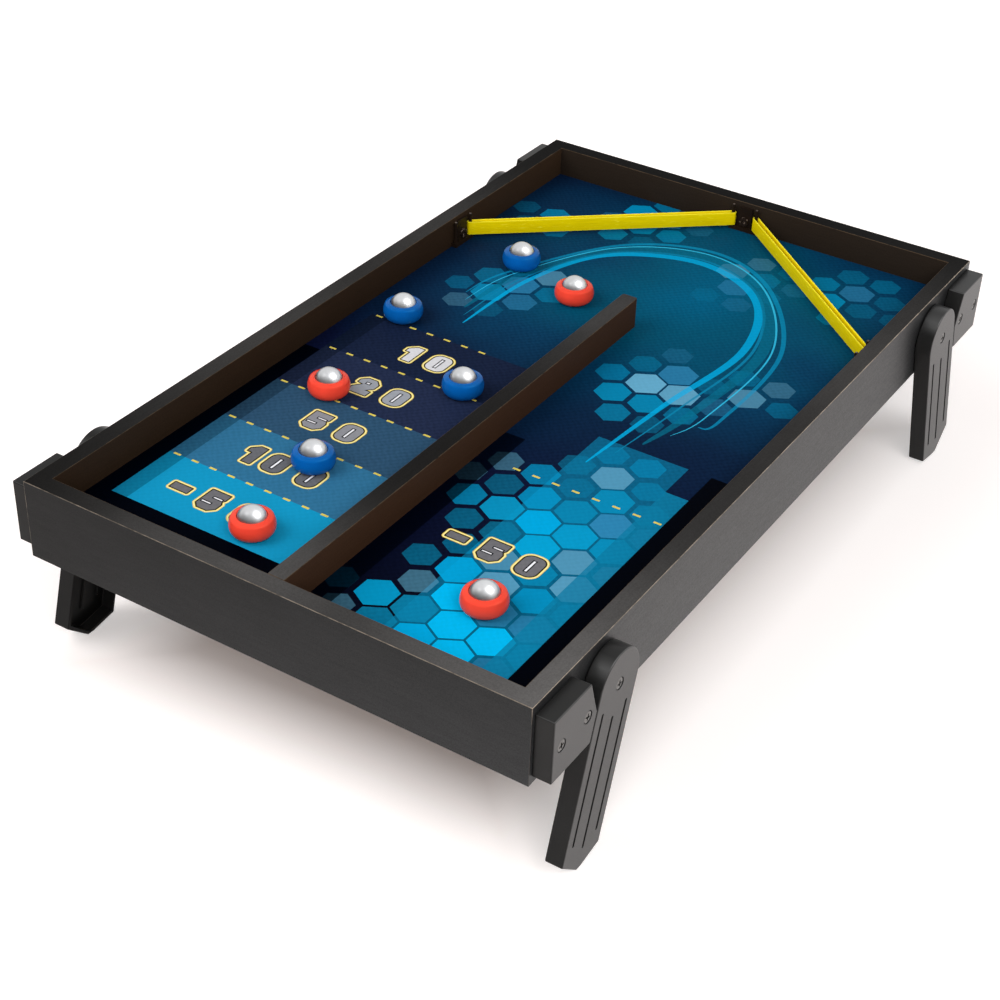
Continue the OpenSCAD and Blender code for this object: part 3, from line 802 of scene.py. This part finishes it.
def makePrint():
    inks = printLayers()
    spots, loops = [], []
    for outline, _, _ in inks:
        loops.append(list(range(len(spots), len(spots) + len(outline))))
        spots.extend(Vector(p) for p in outline)
    points, _, faces, _, _, sources = delaunay_2d_cdt(spots, [], loops, 1, 1e-4)
    shape = bmesh.new()
    paint = shape.loops.layers.float_color.new("ink")
    verts = [shape.verts.new((p.x * mm, p.y * mm, playZ)) for p in points]
    for face, layers in zip(faces, sources):
        if 0 not in layers:
            continue
        colour, cover = Vector((0, 0, 0)), 0.0
        for k in sorted(layers)[1:]:
            _, ink, strength = inks[k]
            colour = colour * (1 - strength) + Vector(ink[:3]) * strength
            cover = cover * (1 - strength) + strength
        for loop in shape.faces.new([verts[i] for i in face]).loops:
            loop[paint] = (*(colour / max(cover, 1e-6)), cover)
    bmesh.ops.delete(shape, geom=[v for v in shape.verts if not v.link_faces], context="VERTS")
    bmesh.ops.recalc_face_normals(shape, faces=shape.faces)
    if sum(f.normal.z for f in shape.faces) < 0:
        bmesh.ops.reverse_faces(shape, faces=shape.faces)
    rim = [e for e in shape.edges if e.is_boundary]
    made = bmesh.ops.extrude_edge_only(shape, edges=rim)["geom"]
    for vert in (g for g in made if isinstance(g, bmesh.types.BMVert)):
        vert.co.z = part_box("print_sheet")[0].z
    bmesh.ops.edgeloop_fill(shape, edges=[e for e in shape.edges if e.is_boundary])
    shape.normal_update()
    return shape


def printMaterial():
    material, tree, surface, place, _ = newMaterial("printedInk", 0.006, 0.4)
    x, y, _ = splitXYZ(tree, place)
    middle = (printLook["glow"][0] * mm, printLook["glow"][1] * mm, playZ)
    away = vectorValue(tree, "DISTANCE", place, middle)
    most = printLook["drift"] * mm
    drift = varied(tree, noise(tree, place, 9.0, 2.0), -most, most)
    ground = ramp(tree, spread(tree, plus(tree, away, drift), 0.0, printLook["glowReach"] * mm),
                  [(at, rgb(ink)) for at, ink in printLook["ground"]])
    paint = addNode(tree, "ShaderNodeAttribute", attribute_name="ink").outputs
    colour = mixColour(tree, paint["Alpha"], ground, paint["Color"])
    # a fine diamond weave shows in the dark inks and hardly in the pale ones
    most, specks = printLook["wander"] * mm, printLook["speckle"]
    wander = varied(tree, noise(tree, place, 160.0, 2.0), -most, most)
    pitch = 2 * math.pi / (printLook["weave"] * mm)
    waves = [calc(tree, "SINE", times(tree, plus(tree, axis, wander), pitch)) for axis in (x, y)]
    weave = times(tree, *waves)
    speckle = varied(tree, noise(tree, place, 500.0, 2.0), -specks, specks)
    level = addNode(tree, "ShaderNodeRGBToBW", [colour]).outputs[0]
    depth = spread(tree, level, *printLook["weaveInks"], *printLook["weaveDepth"])
    shade = plus(tree, times(tree, plus(tree, weave, speckle), depth), 1.0)
    rough = spread(tree, weave, -1.0, 1.0, *printLook["weaveRough"])
    coat(tree, surface, tinted(tree, colour, shade), rough, bumped(tree, weave, *printLook["weaveBump"]))
    return material


fasten(addPiece(makePrint(), "printed_sheet", [printMaterial()]), "tray", "print", "print_sheet")
print("printed sheet laid")


# legs and stop blocks: satin charcoal mouldings

mouldLook = {
    # painted shade on the inner sides, and painted light on all sides, darker on the left and lighter on the
    # right
    "colour": (0.0122, 0.0122, 0.0120, 1), "pebble": 1500.0, "innerPaintedShade": 0.3, "across": (0.85, 1.4),
    # broad sides from low to high, rims, round shoulders, and flat tops from front to back
    "gloss": (0.37, 0.48), "rimGloss": 0.1, "shoulderGloss": 1.0, "topGloss": (0.16, 0.40),
    # where these changes start and end in x, y and z
    "spanX": (-0.19, 0.19), "spanY": (-0.2, 0.2), "spanZ": (0.05, 0.12),
    # how far a face looks inwards, outwards and up where one finish turns into the next
    "inwards": (-0.9, -0.5), "outwards": (0.5, 0.9), "toShoulder": (0.42, 0.66), "toTop": (0.8, 0.97),
    # what clouds and pebbles do to this plastic and to the brackets': tones, roughness and bump
    "cloudTone": (0.88, 1.12), "pebbleTone": (-0.08, 0.08), "rough": (0.38, 0.28), "bump": (0.12, 0.12 * mm),
    # rounded edges: wide ones, and fine ones near the grooves, the hollow and the screws
    "edge": 0.9 * mm, "fine": 0.22 * mm, "grooves": (16 * mm, 103 * mm), "pivot": 7 * mm, "screw": 5.6 * mm,
    "lean": 16,
}


def mouldedPlastic(name, colour, gloss, pebble):
    material, tree, surface, place, normal = newMaterial(name, gloss, 0.42)
    grain = noise(tree, place, pebble, 3.0, 0.6)
    cloud = varied(tree, noise(tree, place, 35.0, 3.0), *mouldLook["cloudTone"])
    colour = tinted(tree, colour, plus(tree, cloud, varied(tree, grain, *mouldLook["pebbleTone"])))
    coat(tree, surface, colour, varied(tree, grain, *mouldLook["rough"]),
         bumped(tree, grain, *mouldLook["bump"]))
    return material, tree, surface, place, normal, colour


def charcoalPlastic():
    # broad sides and round shoulders are glossier than rims and flat tops; inner sides get painted shade, and
    # all sides painted light that grows from left to right
    rimGloss, shoulderGloss = mouldLook["rimGloss"], mouldLook["shoulderGloss"]
    made = mouldedPlastic("charcoalMoulding", mouldLook["colour"], rimGloss, mouldLook["pebble"])
    material, tree, surface, place, normal, colour = made
    x, y, z = splitXYZ(tree, place)
    facing = splitXYZ(tree, normal)
    outward = times(tree, facing[0], calc(tree, "SIGN", x))
    # painted shade on inner sides and painted light from left to right, in the colour
    shade = times(tree, spread(tree, outward, *mouldLook["inwards"], mouldLook["innerPaintedShade"], 1.0),
                  spread(tree, x, *mouldLook["spanX"], *mouldLook["across"]))
    feed(tree, surface["Base Color"], tinted(tree, colour, shade))
    top = spread(tree, y, *mouldLook["spanY"], *mouldLook["topGloss"])
    shoulder = calc(tree, "MINIMUM",
                    spread(tree, facing[2], *mouldLook["toShoulder"], rimGloss, shoulderGloss),
                    spread(tree, facing[2], *mouldLook["toTop"], shoulderGloss, top))
    broad = spread(tree, z, *mouldLook["spanZ"], *mouldLook["gloss"])
    sides = spread(tree, outward, *mouldLook["outwards"], 0.0, broad)
    feed(tree, surface["Specular IOR Level"], calc(tree, "MAXIMUM", sides, shoulder))
    return material


def looseSolids(nodeName):
    # boxes of the separate solids in a CAD node
    shape = welded(nodeName)
    boxes, seen = [], set()
    for vert in shape.verts:
        if vert in seen:
            continue
        stack, spots = [vert], []
        seen.add(vert)
        while stack:
            spot = stack.pop()
            spots.append(spot.co)
            for other in (e.other_vert(spot) for e in spot.link_edges):
                if other not in seen:
                    seen.add(other)
                    stack.append(other)
        boxes.append((Vector(map(min, *spots)), Vector(map(max, *spots))))
    shape.free()
    return boxes


def legDetail(nodeName):
    # true near a leg's grooves, hollow and screw recess
    centre = Vector(next(j["pos_m"] for j in frame["joints"] if j["child"] == nodeName))
    side, lean = math.copysign(1, centre.y), math.radians(mouldLook["lean"])
    down = Vector((0, side * math.sin(lean), -math.cos(lean)))
    across = Vector((0, side * math.cos(lean), math.sin(lean)))
    halfWidth, length = mouldLook["grooves"]

    def near(point):
        u, v = (point - centre).dot(down), (point - centre).dot(across)
        return math.hypot(u, v) < mouldLook["pivot"] or (abs(v) < halfWidth and 0 < u < length)
    return near


blockScrewMiddles = [(low + high) / 2 for low, high in looseSolids("block_screws")]


def blockDetail(point):
    # true near a block's screw recesses
    return any(math.hypot(point.y - m.y, point.z - m.z) < mouldLook["screw"] and point.x * m.x > 0
               for m in blockScrewMiddles)


def mouldSidePart(nodeName, body, isDetail, material):
    shape = cleanCopy(nodeName)
    broad, fine = [], []
    for edge in sharpEdges(shape):
        middle = (edge.verts[0].co + edge.verts[1].co) / 2
        (fine if isDetail(middle) else broad).append(edge)
    roundOff(shape, fine, mouldLook["fine"], 1)
    roundOff(shape, broad, mouldLook["edge"], 3)
    shadeByAngle(shape)
    fasten(softened(addPiece(shape, nodeName + "_moulded", [material])), body, "leg_plastic", nodeName)


charcoal = charcoalPlastic()
for corner in ("front_left", "front_right", "back_left", "back_right"):
    mouldSidePart("leg_" + corner, "leg_" + corner, legDetail("leg_" + corner), charcoal)
    mouldSidePart("stop_block_" + corner, "tray", blockDetail, charcoal)
print("legs and blocks moulded")


# screws: one Geometry Nodes tree for all the cross heads

screwLook = {"head": 7.0 * mm, "smallHead": 6.6 * mm, "headHeight": 2.4 * mm, "dome": 0.25 * mm,
             "slotLength": 0.6, "slotWidth": 1.05 * mm, "slotDepth": 1.3 * mm, "pivotShank": 5 * mm,
             "shank": 4 * mm, "headSides": 40, "shankSides": 24, "ballRings": 90, "weld": 0.01 * mm,
             # the share of the head that is above the shank's end, and the most that a cross is turned
             "shankEnd": 0.9, "twist": 0.5,
             # colours, and how the metal's grain changes its tone and roughness and where the pale flecks of
             # painted glints show
             "black": (0.14, 0.138, 0.133, 1), "steel": (0.46, 0.455, 0.45, 1),
             "dark": (0.017, 0.011, 0.008, 1), "fleck": (0.20, 0.155, 0.125, 1),
             "metalTone": (0.75, 1.25), "rougher": (-0.08, 0.1), "fleckSpan": (0.54, 0.64)}


def shapeNode(tree, kind, values=(), **options):
    return addNode(tree, "GeometryNode" + kind, values, **options).outputs[0]


def geometryTree(name, sockets):
    tree = bpy.data.node_groups.new(name, "GeometryNodeTree")
    kinds = {"Geometry": "Geometry", **{label: "Float" for label in sockets}, "Finish": "Material"}
    keys = {}
    for label, kind in kinds.items():
        socket = tree.interface.new_socket(label, in_out="INPUT", socket_type="NodeSocket" + kind)
        keys[label] = socket.identifier
    tree.interface.new_socket("Geometry", in_out="OUTPUT", socket_type="NodeSocketGeometry")
    return tree, tree.nodes.new("NodeGroupInput").outputs, keys


def finishTree(tree, geometry, material):
    real = shapeNode(tree, "RealizeInstances", [geometry])
    dressed = shapeNode(tree, "SetMaterial", {"Geometry": real, "Material": material})
    addNode(tree, "NodeGroupOutput", [dressed])


def runTree(piece, tree, keys, values):
    modifier = piece.modifiers.new(tree.name, "NODES")
    modifier.node_group = tree
    for label, value in values.items():
        modifier[keys[label]] = value
    settle(piece)


def moved(tree, geometry, offset=None, turn=None):
    return shapeNode(tree, "Transform", {"Geometry": geometry, "Translation": offset, "Rotation": turn})


def rod(tree, sides, radius, length, middle):
    made = shapeNode(tree, "MeshCylinder", {"Vertices": sides, "Radius": radius, "Depth": length})
    return moved(tree, made, joinXYZ(tree, z=middle))


def combine(tree, operation, first, second):
    node = addNode(tree, "GeometryNodeMeshBoolean", operation=operation, solver="EXACT")
    tree.links.new(first, node.inputs["Mesh 1" if operation == "DIFFERENCE" else "Mesh 2"])
    tree.links.new(second, node.inputs["Mesh 2"])
    return node.outputs["Mesh"]


def namedValue(tree, name, kind):
    return shapeNode(tree, "InputNamedAttribute", {"Name": name}, data_type=kind)


def screwTree():
    tree, given, keys = geometryTree("crossHeadScrew", (
        "Head diameter", "Head height", "Dome", "Slot length", "Slot width", "Slot depth", "Shank diameter",
        "Length"))
    sides, height, dome, length = screwLook["headSides"], given["Head height"], given["Dome"], given["Length"]
    half = times(tree, given["Head diameter"], 0.5)
    head = rod(tree, sides, half, height, times(tree, height, -0.5))
    # a large ball trims the head to a shallow dome
    square = plus(tree, times(tree, half, half), times(tree, dome, dome))
    radius = calc(tree, "DIVIDE", square, times(tree, dome, 2.0))
    values = {"Segments": sides, "Rings": screwLook["ballRings"], "Radius": radius}
    ball = moved(tree, shapeNode(tree, "MeshUVSphere", values), joinXYZ(tree, z=times(tree, radius, -1.0)))
    head = combine(tree, "INTERSECT", head, ball)
    shankLength = minus(tree, length, times(tree, height, screwLook["shankEnd"]))
    middle = minus(tree, times(tree, shankLength, 0.5), length)
    shankRadius = times(tree, given["Shank diameter"], 0.5)
    head = combine(tree, "UNION", head, rod(tree, screwLook["shankSides"], shankRadius, shankLength, middle))
    size = joinXYZ(tree, given["Slot length"], given["Slot width"], times(tree, given["Slot depth"], 2.0))
    bar = shapeNode(tree, "MeshCube", {"Size": size})
    cross = combine(tree, "UNION", bar, moved(tree, bar, turn=(0, 0, math.pi / 2)))
    screw = combine(tree, "DIFFERENCE", head, cross)
    screw = shapeNode(tree, "MergeByDistance", {"Geometry": screw, "Distance": screwLook["weld"]})
    facing = addNode(tree, "FunctionNodeAlignRotationToVector",
                     {"Vector": namedValue(tree, "facing", "FLOAT_VECTOR")}, axis="Z").outputs[0]
    twist = addNode(tree, "FunctionNodeAxisAngleToRotation",
                    {"Axis": (0, 0, 1), "Angle": namedValue(tree, "twist", "FLOAT")}).outputs[0]
    turn = addNode(tree, "FunctionNodeRotateRotation", {"Rotation": facing, "Rotate By": twist},
                   rotation_space="LOCAL").outputs[0]
    placed = shapeNode(tree, "InstanceOnPoints",
                       {"Points": given["Geometry"], "Instance": screw, "Rotation": turn})
    finishTree(tree, placed, given["Finish"])
    return tree, keys


def screwMetal(name, colour, roughness):
    material, tree, surface, place, _ = newMaterial(name, 0.5, roughness, 1.0)
    grain = noise(tree, place, 900.0, 4.0, 0.6)
    coat(tree, surface, tinted(tree, colour, varied(tree, grain, *screwLook["metalTone"])),
         varied(tree, grain, *(roughness + more for more in screwLook["rougher"])))
    return material


def wornScrew():
    # a dark finish with pale flecks that are painted glints
    material, tree, surface, place, _ = newMaterial("wornScrew", 0.1, 0.4)
    flecks = spread(tree, noise(tree, place, 520.0, 3.0), *screwLook["fleckSpan"])
    feed(tree, surface["Base Color"], mixColour(tree, flecks, screwLook["dark"], screwLook["fleck"]))
    return material


screwNodes, screwKeys = screwTree()


def driveScrews(nodeName, facingOf, headName, shankName, finish, slot):
    # a point at each CAD screw's head, with the way it faces and a chance turn of its cross
    draw = random.Random(len(nodeName))
    head, shank = screwLook[headName], screwLook[shankName]
    shape = bmesh.new()
    facing = shape.verts.layers.float_vector.new("facing")
    twist = shape.verts.layers.float.new("twist")
    for low, high in looseSolids(nodeName):
        way = facingOf((low + high) / 2)
        length = abs(way.dot(high - low))
        vert = shape.verts.new((low + high) / 2 + way * length / 2)
        vert[facing] = way
        vert[twist] = draw.uniform(-screwLook["twist"], screwLook["twist"])
    piece = addPiece(shape, nodeName + "_driven", [finish])
    runTree(piece, screwNodes, screwKeys, {
        "Head diameter": head, "Head height": screwLook["headHeight"], "Dome": screwLook["dome"],
        "Slot length": screwLook["slotLength"] * head, "Slot width": screwLook["slotWidth"],
        "Slot depth": screwLook["slotDepth"], "Shank diameter": shank, "Length": length, "Finish": finish})
    reshade(piece, 30)
    fasten(piece, "tray", slot, nodeName)


def outwards(point):
    return Vector((math.copysign(1, point.x), 0, 0))


def offTheWall(point):
    return Vector((-math.copysign(1, point.x), 0, 0)) if abs(point.x) > wallX / 2 else Vector((0, -1, 0))


def downwards(point):
    return Vector((0, 0, -1))


blackScrew = screwMetal("blackScrew", screwLook["black"], 0.26)
plainSteel = screwMetal("plainSteel", screwLook["steel"], 0.38)
driveScrews("leg_pivot_screws", outwards, "head", "pivotShank", blackScrew, "black_screw")
driveScrews("block_screws", outwards, "head", "shank", blackScrew, "black_screw")
driveScrews("bracket_screws", offTheWall, "smallHead", "shank", wornScrew(), "black_screw")
driveScrews("divider_screws", downwards, "smallHead", "shank", plainSteel, "plain_steel")
dress("leg_washers", plainSteel)
dress("corner_brads", plainSteel)
print("screws driven")


# band brackets and the two elastic bands

# the tip colour is a painted highlight on the posts' tops
bracketLook = {"colour": (0.0150, 0.0092, 0.0058, 1), "tip": (0.105, 0.086, 0.072, 1), "gloss": 0.12,
               "pebble": 1800.0, "edge": 0.2 * mm, "postEdge": 2.0 * mm}
bandLook = {"colour": (0.95, 0.760, 0.0, 1), "dark": (0.80, 0.63, 0.0, 1), "pale": (1.0, 0.87, 0.03, 1),
            "gloss": 0.06, "thick": 0.9 * mm, "fillet": 0.2 * mm, "filletSteps": 3, "postRadius": 1.85 * mm,
            # points along a straight run and round a post, and the scales of streaks and flecks
            "runs": 26, "arc": 12, "streaks": (55.0, 1500.0), "flecks": (140.0, 900.0),
            # where streaks and flecks show, and the streaks' roughness and bump
            "streakSpan": (0.32, 0.68), "fleckSpan": (0.60, 0.74), "rough": (0.56, 0.44),
            "bump": (0.3, 0.12 * mm),
            # where the painted highlight along the edges starts and is full, as shares of the height from the
            # middle
            "paintedEdgeHighlight": (0.43, 0.49)}


def bandTree():
    tree, given, keys = geometryTree("elasticBand", ("Height", "Thickness", "Fillet"))
    path = shapeNode(tree, "MeshToCurve", [given["Geometry"]])
    path = shapeNode(tree, "SetCurveNormal", {"Curve": path}, mode="Z_UP")
    along = addNode(tree, "GeometryNodeSplineParameter").outputs["Length"]
    path = shapeNode(tree, "StoreNamedAttribute", {"Geometry": path, "Name": "along", "Value": along},
                     data_type="FLOAT", domain="POINT")
    section = shapeNode(tree, "CurvePrimitiveQuadrilateral",
                        {"Width": given["Thickness"], "Height": given["Height"]}, mode="RECTANGLE")
    values = {"Curve": section, "Count": bandLook["filletSteps"], "Radius": given["Fillet"]}
    section = shapeNode(tree, "FilletCurve", values, mode="POLY")
    swept = shapeNode(tree, "CurveToMesh", {"Curve": path, "Profile Curve": section})
    finishTree(tree, swept, given["Finish"])
    return tree, keys


def bandRubber():
    # streaks along the band, paler flecks, and paler top and bottom edges that are a painted highlight
    material, tree, surface, place, _ = newMaterial("yellowElastic", bandLook["gloss"], 0.5)
    along = addNode(tree, "ShaderNodeAttribute", attribute_name="along").outputs["Fac"]
    height = splitXYZ(tree, place)[2]
    low, high = (v.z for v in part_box("rebound_band_left"))

    def scaled(factors, shift):
        return joinXYZ(tree, times(tree, along, factors[0]), times(tree, height, factors[1]), shift)

    streaks = noise(tree, scaled(bandLook["streaks"], 0.0), 1.0, 4.0, 0.6)
    flecks = noise(tree, scaled(bandLook["flecks"], 3.0), 1.0, 2.0)
    bright = spread(tree, streaks, *bandLook["streakSpan"])
    colour = mixColour(tree, bright, bandLook["dark"], bandLook["colour"])
    colour = mixColour(tree, spread(tree, flecks, *bandLook["fleckSpan"]), colour, bandLook["pale"])
    offMiddle = calc(tree, "ABSOLUTE", minus(tree, height, (low + high) / 2))
    # painted highlight along the top and bottom edges
    edge = spread(tree, offMiddle, *(share * (high - low) for share in bandLook["paintedEdgeHighlight"]))
    coat(tree, surface, mixColour(tree, edge, colour, bandLook["pale"]),
         varied(tree, streaks, *bandLook["rough"]), bumped(tree, streaks, *bandLook["bump"]))
    return material


bandNodes, bandKeys = bandTree()
yellowElastic = bandRubber()


def postsOf(wall):
    # middles of a bracket's two posts, from the box of its foot
    low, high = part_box("band_bracket_" + wall)
    edge = bracketLook["postEdge"]
    if wall == "back":
        return Vector((low.x + edge, low.y + edge)), Vector((high.x - edge, low.y + edge))
    x = low.x + edge if wall == "right" else high.x - edge
    return Vector((x, low.y + edge)), Vector((x, high.y - edge))


def stretchBand(nodeName, start, end):
    # a closed loop round two posts
    low, high = (v.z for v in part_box(nodeName))
    way = (end - start).normalized()
    side = Vector((-way.y, way.x))
    radius, arc, runs = (bandLook[k] for k in ("postRadius", "arc", "runs"))
    points = []
    for post, goal, first, out in ((start, end, side, -way), (end, start, -side, way)):
        for a in (math.pi * i / arc for i in range(arc + 1)):
            points.append(post + radius * (first * math.cos(a) + out * math.sin(a)))
        last = points[-1]
        points.extend(last.lerp(goal - first * radius, k / runs) for k in range(1, runs))
    shape = bmesh.new()
    verts = [shape.verts.new((p.x, p.y, (low + high) / 2)) for p in points]
    for i, vert in enumerate(verts):
        shape.edges.new((verts[i - 1], vert))
    piece = addPiece(shape, nodeName + "_elastic", [yellowElastic])
    runTree(piece, bandNodes, bandKeys, {"Height": high - low, "Thickness": bandLook["thick"],
                                         "Fillet": bandLook["fillet"], "Finish": yellowElastic})
    reshade(piece, 40)
    fasten(piece, "tray", "band_rubber", nodeName)


bracketPlastics = [mouldedPlastic(name, bracketLook[part], bracketLook["gloss"], bracketLook["pebble"])[0]
                   for name, part in (("bracketMoulding", "colour"), ("paintedPostTipHighlight", "tip"))]
for wall in ("left", "back", "right"):
    shape = cleanCopy("band_bracket_" + wall)
    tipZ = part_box("band_bracket_" + wall)[1].z
    roundOff(shape, sharpEdges(shape, 50), bracketLook["edge"])
    for face in shape.faces:
        # paler tips of the posts, a painted highlight
        face.material_index = int(all(v.co.z > tipZ - 2 * bracketLook["edge"] for v in face.verts))
    shadeByAngle(shape)
    piece = softened(addPiece(shape, "band_bracket_%s_moulded" % wall, bracketPlastics))
    fasten(piece, "tray", "bracket_plastic", "band_bracket_" + wall)
stretchBand("rebound_band_left", postsOf("left")[1], postsOf("back")[0])
stretchBand("rebound_band_right", postsOf("back")[1], postsOf("right")[1])
print("brackets and bands made")


# pucks: a gloss ring round a loose polished ball; the section is in mm

puckLook = {"blue": (0.0015, 0.102, 0.395, 1), "red": (0.89, 0.064, 0.036, 1), "gloss": 0.25,
            "roughness": 0.08, "scuffed": (0.06, 0.11), "blueShine": (0.12, 0.8, 1.0, 1),
            "redShine": (1.0, 0.5, 0.28, 1), "steps": 72, "steel": (0.84, 0.85, 0.865, 1),
            "steelRoughness": (0.34, 0.42),
            # how scuffs are stretched, and the tones of the plastic and of the steel
            "sheenPatches": (900, 300, 900), "swirlTone": (0.94, 1.06), "steelTone": (0.92, 1.05)}
ringLook = {
    "height": 12.2, "hole": 6.6, "socket": 9.55, "socketUp": 8.85, "lip": 0.3, "socketSteps": 12,
    "lipTurns": (0.6, 1.1, math.pi / 2),
    # sloping top, soft ridge, round side and underside
    "outside": ((10.0, 12.12), (11.0, 11.8), (12.0, 11.45), (12.35, 11.27), (12.65, 10.99), (12.9, 10.65),
                (13.07, 10.25), (13.4, 9.35), (13.72, 8.35), (13.92, 7.3), (14.0, 6.2), (13.95, 5.1),
                (13.78, 4.0), (13.4, 2.9), (12.9, 1.95), (12.2, 1.1), (11.4, 0.5), (10.5, 0.13), (9.4, 0.0)),
}


def glossPlastic(name, colour, shine):
    material, tree, surface, place, _ = newMaterial(name, puckLook["gloss"], puckLook["roughness"])
    surface["Specular Tint"].default_value = shine
    swirl = noise(tree, place, 120.0, 3.0)
    scuff = noise(tree, stretched(tree, place, puckLook["sheenPatches"]), 1.0, 4.0)
    coat(tree, surface, tinted(tree, colour, varied(tree, swirl, *puckLook["swirlTone"])),
         varied(tree, scuff, *puckLook["scuffed"]))
    return material


def polishedSteel():
    material, tree, surface, place, _ = newMaterial("polishedSteel", 0.5, 0.2, 1.0)
    cloud = noise(tree, place, 90.0, 3.0)
    fine = noise(tree, place, 1600.0, 3.0)
    coat(tree, surface, tinted(tree, puckLook["steel"], varied(tree, cloud, *puckLook["steelTone"])),
         varied(tree, fine, *puckLook["steelRoughness"]))
    return material


def ringSection():
    # radius and height above the ring's underside, from the hole up the socket and round the outside
    height, hole, socket, up, lip = (ringLook[k] for k in ("height", "hole", "socket", "socketUp", "lip"))
    start = up - math.sqrt(socket ** 2 - hole ** 2)
    section = [(hole + lip, 0.0), (hole, lip)]
    steps = ringLook["socketSteps"]
    for i in range(steps + 1):
        z = start + (height - lip - start) * i / steps
        section.append((math.sqrt(socket ** 2 - (z - up) ** 2), z))
    rimRadius = section[-1][0] + lip
    section += [(rimRadius - lip * math.cos(a), height - lip + lip * math.sin(a))
                for a in ringLook["lipTurns"]]
    return section + list(ringLook["outside"])


def makePuck(colourName, number, material, steel):
    ringNode, ballNode = ("%s_puck_%s_%d" % (colourName, kind, number) for kind in ("ring", "ball"))
    low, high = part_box(ringNode)
    centre = (low + high) / 2
    shape = bmesh.new()
    section = [shape.verts.new((centre.x + r * mm, centre.y, low.z + z * mm)) for r, z in ringSection()]
    edges = [shape.edges.new((section[i - 1], v)) for i, v in enumerate(section)]
    bmesh.ops.spin(shape, geom=section + edges, cent=centre, axis=(0, 0, 1), angle=2 * math.pi,
                   steps=puckLook["steps"], use_merge=True)
    bmesh.ops.remove_doubles(shape, verts=shape.verts, dist=meshLook["weld"])
    bmesh.ops.recalc_face_normals(shape, faces=shape.faces)
    shadeByAngle(shape, 42)
    ring = addPiece(shape, ringNode + "_moulded", [material])
    fasten(ring, "%s_puck_%d" % (colourName, number), "puck_" + colourName, ringNode)

    low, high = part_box(ballNode)
    shape = bmesh.new()
    bmesh.ops.create_icosphere(shape, subdivisions=4, radius=(high.z - low.z) / 2,
                               matrix=Matrix.Translation((low + high) / 2))
    shadeByAngle(shape, 90)
    ball = addPiece(shape, ballNode + "_polished", [steel])
    fasten(ball, "%s_ball_%d" % (colourName, number), "ball_steel", ballNode)


steelBall = polishedSteel()
for colourName in ("blue", "red"):
    gloss = glossPlastic(colourName + "Gloss", puckLook[colourName], puckLook[colourName + "Shine"])
    for number in range(1, 5):
        makePuck(colourName, number, gloss, steelBall)
print("pucks made")
